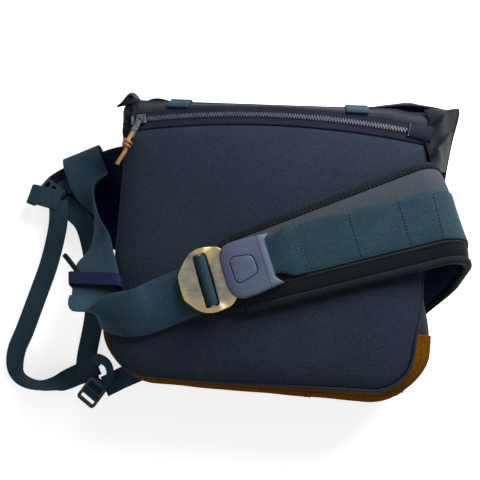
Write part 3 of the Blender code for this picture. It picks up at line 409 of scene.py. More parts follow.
def roll(radius, count=10, flat=1.0):
    """A round or flattened profile: radius (cos a, flat sin a)."""
    a = np.arange(count) * 2 * np.pi / count
    return np.stack([radius * np.cos(a), radius * flat * np.sin(a)], axis=-1)


piping_path = np.column_stack([sides, BACK_SEAM_Z + 0.0012 + 0.6 * lip(sides)])
out = np.column_stack([outward(sides), np.zeros(len(sides))])
piping = sweep("panel_piping", piping_path + out * 0.0006, out, (0, 0, 1.0), roll(0.0016, 8), panel_nylon)
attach(piping, "bag")

# Gusset and leather base. The wall of the bag between the two panels: navy nylon on the sides,
# and a thick tan suede band round the bottom and the lower corners, all one bulging strip.
SKIN_T, LEATHER_T, LEATHER_TOP_Y, WALL_POINTS = 0.0015, 0.0022, -0.072, 421
BULGE_SIDE, BULGE_BOTTOM, BULGE_KEPT, SWELL_FADE = 0.020, 0.010, 0.15, 0.075


def facing(grid):
    """Unit normals of a grid of points: the cross product of its two directions."""
    normal = np.cross(np.gradient(grid, axis=0), np.gradient(grid, axis=1))
    return normal / np.maximum(np.linalg.norm(normal, axis=-1, keepdims=True), 1e-12)


def sheet(name, grid, thick, material, uv=None):
    """A sheet of cloth with a face, a back and its four edges; thick goes back from the face."""
    rows, columns = grid.shape[:2]
    if uv is None:
        uv = np.stack([run(grid, 1), run(grid, 0)], axis=-1)
    count = rows * columns
    face = quads(rows, columns)
    top = np.arange(columns)
    right = np.arange(rows) * columns + columns - 1
    bottom = np.arange(columns - 1, -1, -1) + (rows - 1) * columns
    left = np.arange(rows - 1, -1, -1) * columns
    ring = np.concatenate([top[:-1], right[:-1], bottom[:-1], left[:-1]])
    after = np.roll(ring, -1)
    edge = np.stack([after, ring, ring + count, after + count], axis=-1)
    faces = np.concatenate([face, face[:, ::-1] + count, edge])
    points = np.concatenate([grid.reshape(-1, 3), (grid - facing(grid) * thick).reshape(-1, 3)])
    return put(name, points, faces, np.concatenate([uv.reshape(-1, 2)] * 2), True, material)


def ripple(a, b, seed, waves=5, scale=1.0):
    """Cloth creases over two lengths in metres: a sum of slanted sines with fixed random turns."""
    pick = np.random.default_rng(seed)
    total = np.zeros(np.broadcast(a, b).shape)
    for size in range(waves):
        reach = scale * (18 + 26 * size)
        turn = pick.uniform(-np.pi, np.pi)
        slanted = a * np.cos(turn) + b * np.sin(turn)
        total = total + np.sin(reach * slanted + pick.uniform(0, 6.3)) / (1 + 0.8 * size)
    return total / 2.2


leather, leather_shader = principled("tan_suede")
tree = leather.node_tree
nap = clouds(tree, 650.0, 3.0)
hide = blend_colour(tree, clouds(tree, 28.0, 5.0), (0.176, 0.066, 0.003), (0.256, 0.101, 0.005))
tree.links.new(blend_colour(tree, nap, (0.124, 0.041, 0.002), hide), leather_shader.inputs["Base Color"])
leather_shader.inputs["Roughness"].default_value = 0.85
leather_shader.inputs["Specular IOR Level"].default_value = 0.0
raised(tree, leather_shader, nap, 0.5, 0.0004)

wall_line = spread(both_halves, WALL_POINTS)
wall_out = outward(wall_line)


def swell_kept(y):
    """Share of the swelling left at this height: it fades above the leather's top edge."""
    return BULGE_KEPT + (1 - BULGE_KEPT) * (1 - smooth((y - LEATHER_TOP_Y) / SWELL_FADE))


def wall(first, last, lift, wrinkle, seed):
    """The strip of wall between two points of the line, from its lap on the back panel to the front seam.

    It swells by sin(pi h), h from seam to seam: by 20 mm on the sides and 10 at the bottom.
    """
    line, out = wall_line[first:last], wall_out[first:last]
    h = np.linspace(0, 1, 44)
    bottom = np.clip((-line[:, 1] - 0.09) / 0.04, 0, 1)
    bulge = BULGE_SIDE + (BULGE_BOTTOM - BULGE_SIDE) * smooth(bottom)
    kept = swell_kept(line[:, 1])
    far = run(line[:, None], 0)[:, 0]
    crease = ripple(far[:, None], h[None] * 0.086, seed, 4, 1.3) * np.sin(np.pi * h)[None] * wrinkle
    swell = (bulge * kept)[:, None] * np.sin(np.pi * h)[None] + crease + lift
    over = lip(line)[:, None] * (1 - smooth(h / 0.12))[None]
    z = BACK_SEAM_Z + (FRONT_SEAM_Z - BACK_SEAM_Z) * h + 0.55 * over
    flat = line[:, None] + out[:, None] * (swell - over)[..., None]
    return np.concatenate([flat, z[..., None]], axis=-1)


on_leather = np.flatnonzero(wall_line[:, 1] < LEATHER_TOP_Y)
first, last = on_leather[0], on_leather[-1] + 1


def leather_wall(lift):
    """The leather's part of the wall, lifted off the bag by a distance."""
    return wall(first, last, lift, 0.0012, 3)


base = sheet("leather_base_hide", leather_wall(0.0013), LEATHER_T, leather)
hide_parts("leather_base")
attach(base, "bag")
gusset_nylon = woven(
    "gusset_nylon", (0.020, 0.024, 0.040), (0.006, 0.008, 0.014), (0.028, 0.033, 0.052), (420, 420, 0),
    rough=0.7, depth=0.0003, strength=0.5,
)
for name, part in (("right_gusset", slice(0, first + 3)), ("left_gusset", slice(last - 3, WALL_POINTS))):
    piece = sheet(name + "_cloth", wall(part.start, part.stop, 0.0, 0.0014, 5), SKIN_T, gusset_nylon)
    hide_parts(name)
    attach(piece, "bag")

# Stitches of the leather base. A row of tan thread runs just below its upper edge, where it is
# sewn over the panel's seam.


def mottled(name, dark, light, scale, detail, rough=0.5, metal=0.0):
    """A finish of two tones mixed in clouds. Returns the material, its shader and the clouds."""
    made, shader = principled(name)
    tree = made.node_tree
    mask = clouds(tree, scale, detail)
    tree.links.new(blend_colour(tree, mask, dark, light), shader.inputs["Base Color"])
    shader.inputs["Roughness"].default_value = rough
    shader.inputs["Metallic"].default_value = metal
    return made, shader, mask


def stitches(name, path, up, pitch, radius, material, lift=0.0):
    """A row of thread: a short bent bar every pitch along a path, as one mesh."""
    path = np.asarray(path, float)
    far = run(path[:, None], 0)[:, 0]
    count = max(2, int(far[-1] / pitch))
    start = (np.arange(count) + 0.12) * far[-1] / count
    span = 0.66 * far[-1] / count
    t = np.linspace(0, 1, 5)
    s = start[:, None] + span * t[None]
    centre = np.stack([np.interp(s, far, path[:, k]) for k in range(3)], axis=-1)
    up = np.asarray(up, float)
    if up.ndim == 2:
        up = np.stack([np.interp(s, far, up[:, k]) for k in range(3)], axis=-1)
    bow = np.sin(np.pi * t)[None, :, None]
    centre = centre + up * (lift - radius * 0.6 + radius * 1.1 * bow)
    step = np.gradient(centre, axis=1)
    step = step / np.linalg.norm(step, axis=-1, keepdims=True)
    side = np.cross(step, np.broadcast_to(up, step.shape))
    side = side / np.linalg.norm(side, axis=-1, keepdims=True)
    rise = np.cross(side, step)
    a = np.arange(6) * np.pi / 3
    swell = (0.35 + 0.65 * np.sin(np.pi * t)) * radius
    ring = side[:, :, None] * np.cos(a)[:, None] + rise[:, :, None] * np.sin(a)[:, None]
    points = centre[:, :, None] + ring * swell[None, :, None, None]
    one = quads(5, 6, wrap=True)
    caps = np.array([[0, 1, 2, 3], [0, 3, 4, 5], [27, 26, 25, 24], [29, 28, 27, 24]])
    one = np.concatenate([one, caps[:, ::-1]])
    faces = (one[None] + np.arange(count)[:, None, None] * 30).reshape(-1, 4)
    return put(name, points.reshape(-1, 3), faces, None, True, material)


def thread(name, colour):
    """Sewing thread: one colour, darker in fine patches."""
    made, shader, _ = mottled(name, tuple(0.6 * c for c in colour), colour, 900.0, 1.0, 0.7)
    shader.inputs["Specular IOR Level"].default_value = 0.12
    return made


suede_thread = thread("suede_thread", (0.13, 0.055, 0.008))
dark_thread = thread("dark_thread", (0.012, 0.014, 0.018))
grey_thread = thread("grey_thread", (0.045, 0.052, 0.06))
top_row = leather_wall(0.0016)[:, 3]
rim = stitches("leather_top_stitch", top_row, (0, 0, 1.0), 0.0045, 0.0005, suede_thread, 0.0002)
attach(rim, "bag")

# Joins of the leather. The base is cut from three lengths, and each join at the lower right
# laps 4 mm over the next length, with a row of stitches beside it.
LEATHER_JOINS_X = (0.051, 0.138)
leather_line = wall_line[first:last]
for number, join_x in enumerate(LEATHER_JOINS_X):
    low = np.where(leather_line[:, 1] < -0.09, np.abs(leather_line[:, 0] - join_x), 1.0)
    start = int(np.argmin(low)) - 1
    join = sheet("leather_join_%d" % number, leather_wall(0.0017)[start:start + 3], 0.0012, leather)
    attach(join, "bag")
    row = leather_wall(0.0015)[start - 1, 2:-2]
    side = np.append(wall_out[first + start - 1], 0.0)
    seam = stitches("leather_join_stitch_%d" % number, row, side, 0.0040, 0.0004, dark_thread, 0.0002)
    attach(seam, "bag")

# Flap. Charcoal waxed cloth: it leaves the top edge behind the zip, turns over the top of the
# bag, hangs out as soft ears at both ends, and lies flat under the bag as the front cover.
FLAP_T, FLAP_ROWS = 0.0024, 190
HINGE_Y = 0.168
# Rows down the flap in mm: y, z, left end, right end, and how far the right ear hangs back.
FLAP_LINE = np.array([
    (166.5, 87, -174, 176, 0), (170, 84, -184, 190, 0), (175, 76, -180, 196, 0),
    (178.5, 62, -176, 206, 0), (180, 36, -177, 208, 18), (176.5, 15, -174, 209, 40),
    (169, 4.6, -172, 209, 52), (155, 1.2, -170, 208, 42), (110, 1.2, -169, 203, 0),
    (20, 1.2, -166, 168, 0), (-90, 1.2, -162, 162, 0), (-112, 1.2, -155, 155, 0),
    (-124, 1.2, -138, 138, 0),
]) / 1000.0


def frames(path, up=(0.0, 0.0, 1.0)):
    """Unit side and up directions along a path, with up as near as can be to the given one."""
    step = np.gradient(path, axis=0)
    step = step / np.linalg.norm(step, axis=1)[:, None]
    up = np.broadcast_to(np.asarray(up, float), path.shape)
    side = np.cross(step, up)
    side = side / np.linalg.norm(side, axis=1)[:, None]
    return side, np.cross(side, step)


def curve(keys, count):
    """A smooth line through key rows (Catmull-Rom on each column), spread at even distances."""
    keys = np.asarray(keys, float)
    ends = np.concatenate([[2 * keys[0] - keys[1]], keys, [2 * keys[-1] - keys[-2]]])
    t = np.linspace(0, 1, 24, endpoint=False)[:, None]
    rows = []
    for a, b, c, d in zip(ends, ends[1:], ends[2:], ends[3:]):
        square, cube = 2 * a - 5 * b + 4 * c - d, 3 * b - a - 3 * c + d
        rows.append(0.5 * (2 * b + (c - a) * t + square * t ** 2 + cube * t ** 3))
    rows.append(keys[-1:])
    return spread(np.concatenate(rows), count)


flap_rows = curve(FLAP_LINE, FLAP_ROWS)
across = np.linspace(0, 1, 220)
x = flap_rows[:, 2:3] + (flap_rows[:, 3:4] - flap_rows[:, 2:3]) * across[None]
drawn_in = 0.8 * smooth((across - 0.02) / 0.09) * (1 - smooth((across - 0.74) / 0.19))
y = flap_rows[:, :1] - drawn_in * np.maximum(0, flap_rows[:, :1] - HINGE_Y)
y = y - flap_rows[:, 4:] * smooth((x - 0.150) / 0.055)
# Lumps of the ridge: each is rise exp(-((x - middle) / reach)^2), and the left end droops.
lump = -0.012 * smooth((-x - 0.168) / 0.016)
for rise, middle, reach in (
    (0.006, 0.146, 0.036), (0.008, -0.171, 0.009), (0.0035, -0.136, 0.012), (-0.0045, -0.155, 0.006),
):
    lump = lump + rise * np.exp(-(((x - middle) / reach) ** 2))
y = y + lump * smooth((flap_rows[:, 1:2] - 0.052) / 0.020)
flap_grid = np.stack([x, y, np.broadcast_to(flap_rows[:, 1:2], x.shape)], axis=-1)
flap_section = np.stack([np.zeros(FLAP_ROWS), flap_rows[:, 0], flap_rows[:, 1]], axis=-1)
flap_side, _ = frames(flap_section, (1.0, 0, 0))
flap_out = flap_side * np.sign(flap_side[:, 1:2] + 0.2)
flap_far = run(flap_rows[:, None, :2], 0)[:, 0]
free = np.minimum(1, np.maximum(0, (flap_rows[:, 1] - 0.004) / 0.02)) * np.minimum(1, flap_far / 0.012)
ear = smooth((np.abs(x) - 0.10) / 0.07)
crumple = ripple(x, flap_far[:, None], 11, 6, 1.7) * (0.0021 + 0.0036 * ear)
flap_grid = flap_grid + flap_out[:, None] * (crumple * free[:, None])[..., None]
flap_grid[..., 2] = np.maximum(flap_grid[..., 2], 0.0022)
flap_cloth = woven(
    "flap_waxed_cloth", (0.022, 0.027, 0.033), (0.009, 0.011, 0.014), (0.034, 0.041, 0.048), (900, 900, 0),
    rough=0.55, depth=0.00015, strength=0.4, cloud=30.0,
)
flap = sheet("flap_cloth", flap_grid[:, ::-1], FLAP_T - 0.0004, flap_cloth)
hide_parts("flap")
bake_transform(flap)

# Flap lining. Blue-navy lining cloth sewn inside the flap, a little smaller than it, following
# it all over.
lining_cloth = woven(
    "lining_cloth", (0.016, 0.021, 0.062), (0.007, 0.009, 0.028), (0.022, 0.029, 0.080), (800, 800, 0),
    rough=0.6, depth=0.00012, strength=0.4,
)
inner = flap_grid[4:-4, 6:-6] - facing(flap_grid[:, ::-1])[:, ::-1][4:-4, 6:-6] * (FLAP_T + 0.0002)
inner[..., 2] = np.maximum(inner[..., 2], 0.0016)
flap_lining = sheet("flap_lining_cloth", inner[:, ::-1], 0.0008, lining_cloth)
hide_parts("flap_lining")
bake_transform(flap_lining)

# Webbing in general. Teal polyester, woven in fine ribs: it is used for every strap on the bag,
# as a flat band with rounded edges. The straps off the pad take a lighter copy of it: painted light,
# since it is the same webbing.
webbing_cloth = woven(
    "teal_webbing", (0.028, 0.064, 0.091), (0.011, 0.026, 0.039), (0.038, 0.081, 0.110), (560, 620, 0),
    rough=0.6, depth=0.0003, strength=0.7, cloud=40.0,
)


def oval(width, height, power=2.6, count=24):
    """A rounded-rectangle profile: |x / a|^p + |y / b|^p = 1."""
    a = np.arange(count) * 2 * np.pi / count
    c, s = np.cos(a), np.sin(a)
    flat, tall = (np.sign(value) * np.abs(value) ** (2 / power) for value in (c, s))
    return np.stack([width / 2 * flat, height / 2 * tall], axis=-1)


def ribbon_profile(width, thick):
    """A flat band with rounded edges, seen end on."""
    a = np.linspace(-np.pi / 2, np.pi / 2, 5)
    half, straight = thick / 2, width / 2 - thick / 2
    end = np.stack([straight + half * np.cos(a), half * np.sin(a)], axis=-1)
    flat = np.stack([np.linspace(straight, -straight, 9)[1:-1], np.full(7, half)], axis=-1)
    return np.concatenate([end, flat, -end, -flat])


# Zip tapes and facing. Navy tape lies on both sides of the zip's curve, and a charcoal strip of
# cloth, a little creased, is sewn to the upper tape and goes over to the flap.
tape_cloth = woven(
    "zip_tape_cloth", (0.020, 0.022, 0.042), (0.007, 0.008, 0.016), (0.028, 0.031, 0.055), (500, 900, 0),
    rough=0.7, depth=0.0002, strength=0.5,
)


def zip_strip(start, end, low, high, z, rows=160, columns=8):
    """A level grid that runs with the zip between two offsets."""
    x = np.linspace(start, end, rows)
    flat = np.stack([along_zip(x, offset) for offset in np.linspace(low, high, columns)], axis=1)
    return np.concatenate([flat, np.full((rows, columns, 1), z)], axis=-1)


for name, low, high in (("zip_tape_back", -0.0112, -0.0004), ("zip_tape_top", 0.0004, 0.0090)):
    tape = sheet(name + "_cloth", zip_strip(-0.160, 0.162, low, high, ZIP_Z + 0.0005), 0.001, tape_cloth)
    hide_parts(name)
    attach(tape, "bag")

facing_x = np.linspace(-0.158, 0.163, 161)
facing_low = along_zip(facing_x, 0.0086)
blend = np.linspace(0, 1, 24)[None]
facing_y = facing_low[:, 1:] + (0.1674 - facing_low[:, 1:]) * blend
facing_fold = 0.0012 + 0.0022 * smooth((-facing_x[:, None] - 0.06) / 0.08)
facing_fold = facing_fold * ripple(facing_x[:, None], facing_y, 21, 5, 2.4)
facing_drop = 0.0130 + 0.0060 * smooth((facing_x[:, None] - 0.125) / 0.02)
facing_z = ZIP_Z + 0.0006 - facing_drop * smooth(blend ** 1.4) + facing_fold * np.sin(np.pi * blend)
strip = np.stack([np.broadcast_to(facing_low[:, :1], facing_y.shape), facing_y, facing_z], axis=-1)
facing_cloth = woven(
    "facing_cloth", (0.022, 0.028, 0.036), (0.009, 0.012, 0.016), (0.036, 0.044, 0.052), (420, 420, 0),
    rough=0.6, depth=0.0003, strength=0.5,
)
facing_piece = sheet("zip_facing_cloth", strip, 0.0012, facing_cloth)
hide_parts("zip_facing")
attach(facing_piece, "bag")

# Corner gathers. At both ends of the zip the loose gusset cloth is drawn out into a crumpled ear
# that fills the corner between the zip, the panel and the flap's edge. Its cloth is painted far
# darker than the gusset's: painted shade of these deep corners.
# The gusset's cloth, about three times darker: painted shade.
ear_cloth_painted_shade = woven(
    "ear_cloth_painted_shade", (0.006, 0.008, 0.015), (0.002, 0.003, 0.006), (0.010, 0.013, 0.022), (420, 420, 0),
    rough=0.6, depth=0.0003, strength=0.5,
)
# The right gather has one sharp crease, a tent along the line between two points of the plan.
CREASE_FROM, CREASE_TO = np.array((0.2000, 0.1560)), np.array((0.1680, 0.1150))
crease_long = np.linalg.norm(CREASE_TO - CREASE_FROM)
crease_way = (CREASE_TO - CREASE_FROM) / crease_long
crease_off = np.array((crease_way[1], -crease_way[0]))
right_edge = flap_grid[:, np.argmax(flap_grid[20, :, 0])]
left_edge = flap_grid[:, np.argmin(flap_grid[20, :, 0])]
# The left edge goes on to the panel's corner, and a row at the table's height ends it.
left_edge = left_edge[left_edge[:, 2] > 0.068]
left_edge = np.concatenate([
    left_edge, [(-0.1785, 0.156, 0.074), (-0.1735, 0.136, 0.083), (-0.168, 0.110, 0.0885), (0, 0, 0)],
])
RIGHT_INNER = (
    (0.160, 0.1672, 0.0872), (0.161, 0.151, 0.1000), (0.160, 0.141, 0.1022), (0.157, 0.128, 0.1030),
    (0.164, 0.104, 0.1000), (0.168, 0.092, 0.094),
)
LEFT_INNER = (
    (-0.157, 0.1672, 0.0872), (-0.154, 0.152, 0.0985), (-0.154, 0.140, 0.0965), (-0.158, 0.126, 0.0955),
    (-0.162, 0.110, 0.0940),
)
for name, inner, edge, low, puff, seed in (
    ("right_gather", RIGHT_INNER, right_edge, 0.008, 0.0075, 51),
    ("left_gather", LEFT_INNER, left_edge, 0.02, 0.0045, 52),
):
    outer = edge[: np.argmax(edge[:, 2] < low)]
    inner_line, outer_line = curve(np.array(inner), 90), spread(outer, 90)
    part = np.linspace(0, 1, 60)[None, :, None]
    near_flap = outer_line * 0.985 + inner_line * 0.015
    gather = inner_line[:, None] * (1 - part) + near_flap[:, None] * part
    folds = ripple(run(outer_line[:, None], 0) * np.ones((1, 60)), part[..., 0] * 0.03, seed, 4, 3.4)
    folds = 1.4 * np.abs(folds) ** 0.7 * np.sign(folds)
    away = np.array((0.45 * np.sign(inner[0][0]), 0.1, 0.88))
    lift = np.sin(np.pi * part[..., 0] ** 0.8) * np.sin(np.pi * np.linspace(0.06, 0.96, 90))[:, None]
    gather = gather + away * (lift * (puff + 0.0050 * folds))[..., None]
    off = (gather[..., :2] - CREASE_FROM) @ crease_off
    gone = (gather[..., :2] - CREASE_FROM) @ crease_way / crease_long
    tent = np.maximum(0, 1 - np.where(off > 0, off / 0.0035, -off / 0.017))
    gather[..., 2] += 0.0085 * tent * smooth((gone + 0.1) / 0.3) * (1 - smooth((gone - 0.85) / 0.3))
    piece = sheet(name, gather, 0.0010, ear_cloth_painted_shade)
    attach(piece, "bag")

# Flap tabs. Two short straps of teal webbing that come out beside the zip and run over the ridge
# on to the flap, where their ends are sewn down.
for name, x_mid in (("flap_tab_left", -0.108), ("flap_tab_right", 0.088)):
    on_facing = strip[np.argmin(np.abs(facing_x - x_mid)), 2:]
    on_flap = flap_grid[4:60, np.argmin(np.abs(flap_grid[30, :, 0] - x_mid))]
    line = spread(np.concatenate([on_facing, on_flap]), 80)
    line[:, 0] = x_mid
    tab_up = np.cross((1.0, 0, 0), np.gradient(line, axis=0))
    tab_up = tab_up / np.linalg.norm(tab_up, axis=1)[:, None]
    tab_up = tab_up * np.sign(tab_up[:, 1:2] + tab_up[:, 2:])
    tab_line = line + tab_up * 0.0017
    tab_band = ribbon_profile(0.024, 0.0016)
    tab = sweep(name + "_webbing", tab_line, (1.0, 0, 0), tab_up, tab_band, webbing_cloth)
    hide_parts(name)
    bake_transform(tab)

# Zip chain and garage. Two rows of dark grey teeth that mesh, one row on each tape; a short tube
# of the gusset's cloth covers their right end, held by a bar of pale thread.
zip_metal, metal_shader, scuff = mottled(
    "zip_grey_metal", (0.050, 0.053, 0.062), (0.150, 0.154, 0.168), 300.0, 4.0, metal=0.85
)
tree = zip_metal.node_tree
tree.links.new(calc(tree, "MULTIPLY_ADD", scuff, 0.2, 0.32), metal_shader.inputs["Roughness"])
teeth_metal, *_ = mottled(
    "zip_teeth_metal", (0.024, 0.026, 0.042), (0.080, 0.080, 0.104), 260.0, 4.0, metal=0.15
)
TOOTH_PITCH = 0.0030


def bricks(centres, right, forward, size, squeeze=0.75):
    """Many small blocks with a narrower top, as one mesh: size is (along right, along forward, up)."""
    square = np.array([(-1, -1, 0), (1, -1, 0), (1, 1, 0), (-1, 1, 0)], float)
    corner = np.concatenate([square, square * (squeeze, squeeze, 1) + (0, 0, 1)])
    corner = corner * (size[0] / 2, size[1] / 2, size[2])
    up = np.cross(right, forward)
    points = centres[:, None] + right[:, None] * corner[None, :, :1] + forward[:, None] * corner[None, :, 1:2]
    points = points + up[:, None] * corner[None, :, 2:]
    box = np.array([(3, 2, 1, 0), (4, 5, 6, 7), (0, 1, 5, 4), (1, 2, 6, 5), (2, 3, 7, 6), (3, 0, 4, 7)])
    return points.reshape(-1, 3), (box[None] + np.arange(len(centres))[:, None, None] * 8).reshape(-1, 4)


tooth_x = np.arange(-0.152, 0.139, TOOTH_PITCH / 2)
sideways = np.where(np.arange(len(tooth_x)) % 2 == 0, 0.0011, -0.0011)
tooth_at = np.stack([along_zip(value, shift) for value, shift in zip(tooth_x, sideways)])
tooth_at = np.concatenate([tooth_at, np.full((len(tooth_at), 1), 0.0984)], axis=1)
lean = np.arcsin((tooth_x - ZIP_X) / ZIP_R)
tangent = np.stack([np.cos(lean), -np.sin(lean), np.zeros(len(lean))], axis=-1)
normal = np.stack([np.sin(lean), np.cos(lean), np.zeros(len(lean))], axis=-1)
points, faces = bricks(tooth_at, tangent, normal, (0.0021, 0.0040, 0.0030))
chain = put("zip_teeth", points, faces, None, False, teeth_metal)
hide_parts("zip_chain")
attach(chain, "bag")

garage_line = np.column_stack([along_zip(np.linspace(0.1405, 0.1645, 30), 0.0006), np.full(30, 0.1004)])
garage_side, garage_up = frames(garage_line)
puff = 1 + 0.10 * ripple(np.linspace(0, 0.03, 30), 0.0, 41, 4, 6.0)
garage_profile = oval(0.0165, 0.0062, 2.4, 40)[None] * np.stack([puff, puff], axis=-1)[:, None]
garage = sweep("zip_garage_tube", garage_line, garage_side, garage_up, garage_profile, gusset_nylon)
pale_thread = thread("pale_thread", (0.55, 0.50, 0.34))
over = np.linspace(-0.0078, 0.0078, 12)
bar_flat = garage_line[1, :2] + garage_side[1, :2] * over[:, None]
bar_path = np.column_stack([bar_flat, 0.1003 + 0.0031 * np.sqrt(1 - (over / 0.0084) ** 2)])
bar_tack = stitches("garage_stitch", bar_path, (0, 0, 1.0), 0.0026, 0.00035, pale_thread, 0.0003)
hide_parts("zip_garage")
for piece in (garage, bar_tack):
    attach(piece, "bag")

# Zip slider, its pull and the lace. The metal pieces are the part's own solids, rounded off at
# their edges; a tan leather lace is tied through the pull's hole, with a knot and a cut tail.


def keep(name, material, bevel=0.0, segments=2):
    """A solid of the part kept as it is, given a finish and, where asked, rounded edges."""
    made = bpy.data.objects[name]
    made.data.materials.clear()
    made.data.materials.append(material)
    if bevel:
        weld = made.modifiers.new("joined", "WELD")
        weld.merge_threshold = 1e-5
        soft = made.modifiers.new("edges", "BEVEL")
        soft.width = bevel
        soft.segments = segments
        soft.limit_method = "ANGLE"
        soft.angle_limit = math.radians(35)
    return made


for name in ("zip_slider", "zip_slider_plate", "zip_pull_tab", "zip_stop"):
    keep(name, zip_metal, 0.0004)
LACE_OUT = np.array([-7, -4.5, -2, 0.5, 3, 6, 9, 12.5, 16.5, 21, 27, 34.5]) / 1000.0
lace_leather, *_ = mottled("tan_lace", (0.27, 0.115, 0.026), (0.42, 0.20, 0.06), 160.0, 4.0, 0.6)
PULL_AT = np.array((-0.147, 0.13789, 0.1064))
pull_way = np.array((math.cos(math.radians(-106)), math.sin(math.radians(-106)), 0.0))
lace_line = PULL_AT + pull_way * (0.0246 + LACE_OUT[:, None])
lace_line[:, 2] = np.minimum(0.1118, 0.1092 + 0.3 * LACE_OUT)
lace_line = curve(lace_line, 70)
lace_side, lace_up = frames(lace_line)
lace_far = run(lace_line[:, None], 0)[:, 0]
swell = np.exp(-((lace_far - 0.0165) / 0.0048) ** 4)
lace_line = lace_line + lace_side * (0.0012 * np.sin(lace_far * 190))[:, None] * (1 - swell)[:, None]
lace = sweep("lace", lace_line, lace_side, lace_up, roll(0.0022, 12, 0.8), lace_leather)
wraps = np.linspace(0, 1, 150)
knot_mid = lace_line[np.argmax(swell)]
wind = wraps * 2 * np.pi * 3.2
knot_radius = 0.0026 + 0.0009 * np.sin(wraps * np.pi)
knot_line = knot_mid + pull_way * ((wraps - 0.5) * 0.0075 + 0.0009 * np.sin(wind * 0.5))[:, None]
knot_line = knot_line + lace_side[30] * (knot_radius * np.cos(wind))[:, None]
knot_line[:, 2] += knot_radius * np.sin(wind)
knot_side, knot_up = frames(knot_line, pull_way)
knot = sweep("lace_knot", knot_line, knot_side, knot_up, roll(0.0019, 10, 0.85), lace_leather)
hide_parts("leather_pull")
for piece in (lace, knot):
    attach(piece, "pull")

# Shoulder pad. Foam between a two-cloth cover and a blue lining, bound all round; it lies across
# the back panel, curls over the bag's right side and comes back to a seam low on the gusset.
STRAP_ANGLE, STRAP_AT = math.radians(18), np.array((-0.0222, -0.0172))
PAD_START, PAD_ROUND, PAD_TURN, PAD_TURN_R = -0.026, 0.020, 0.194, 0.030
PAD_Z, PAD_ROOT_Z, PAD_LOW, PAD_HIGH, PAD_SLIP = 0.1127, 0.026, -0.044, (0.024, 0.054), 0.058
strap_way = np.array((math.cos(STRAP_ANGLE), math.sin(STRAP_ANGLE)))
strap_across = np.array((-strap_way[1], strap_way[0]))


def pad_edge(s, part):
    """Distance across the pad at a place along it: 0 is the low edge, 1 the high edge, which flares."""
    grow = np.clip((s - PAD_START) / 0.25, 0, 1)
    return PAD_LOW + part * (PAD_HIGH[0] + (PAD_HIGH[1] - PAD_HIGH[0]) * grow - PAD_LOW)


def pad_line(start, across, offset, count, stop=1.0):
    """One line along the pad, this far off its middle: flat, over the turn, down and back to the seam.

    Beyond the turn it slips down the bag's side by slip (d / 134 mm)^1.5, d being the length gone.
    """
    radius = PAD_TURN_R + offset
    lower = PAD_ROOT_Z + PAD_TURN_R
    turn_across = float(across(np.array([PAD_TURN + PAD_TURN_R]))[0])
    root_y = STRAP_AT[1] + strap_way[1] * PAD_TURN + strap_across[1] * turn_across - PAD_SLIP
    root_x = half_width(root_y) + BULGE_SIDE * swell_kept(root_y) + 0.0013
    seam = (root_x - STRAP_AT[0] + turn_across * strap_way[1]) / strap_way[0]
    reach = np.pi / 2
    if seam > PAD_TURN:
        reach = math.acos(min(0.96, (seam - PAD_TURN) / radius))
    bend = np.linspace(np.pi / 2, 0, 24)
    under = np.linspace(0, -reach, 24)
    s = [
        np.linspace(start, PAD_TURN, 60)[:-1],
        PAD_TURN + radius * np.cos(bend),
        PAD_TURN + radius * np.cos(under),
    ]
    z = [
        np.full(59, PAD_Z + offset),
        PAD_Z - PAD_TURN_R + radius * np.sin(bend),
        lower + radius * np.sin(under),
    ]
    straight = PAD_TURN_R * np.pi / 2 + PAD_Z - PAD_TURN_R - lower
    gone = [np.zeros(59), PAD_TURN_R * (np.pi / 2 - bend), straight - PAD_TURN_R * under]
    if seam <= PAD_TURN:
        s.append(np.linspace(PAD_TURN, seam, 8)[1:])
        z.append(np.full(7, PAD_ROOT_Z - offset))
        gone.append(straight + PAD_TURN_R * np.pi / 2 + PAD_TURN - s[-1])
    s, z, gone = np.concatenate(s), np.concatenate(z), np.concatenate(gone)
    flat = STRAP_AT + strap_way * s[:, None] + strap_across * across(s)[:, None]
    flat[:, 1] -= PAD_SLIP * (gone / 0.134) ** 1.5
    line = spread(np.column_stack([flat, z, s]), 400)
    return spread(line[: max(2, int(400 * stop))], count)


def pad_tip(part):
    """Where the pad's rounded tip begins at this place across it."""
    return PAD_START + PAD_ROUND * np.abs(2 * part - 1) ** 5


def pad_grid(places, lift, count):
    """Grid of the pad's surface: columns at these places across it, each with its own lift."""
    columns = []
    for place, rise in zip(places, lift):
        line = pad_line(pad_tip(place), lambda s, place=place: pad_edge(s, place), rise, count)
        columns.append(line[:, :3])
    return np.stack(columns, axis=1)


places = np.linspace(0, 1, 61)
swell = 1 - np.abs(2 * places - 1) ** 6
cover_grid = pad_grid(places, 0.0006 + 0.0042 * swell, 260)
across_uv = PAD_LOW + places * (PAD_HIGH[0] + 0.02 - PAD_LOW)
cover_uv = np.stack([np.broadcast_to(across_uv, cover_grid.shape[:2]), run(cover_grid, 0)], axis=-1)

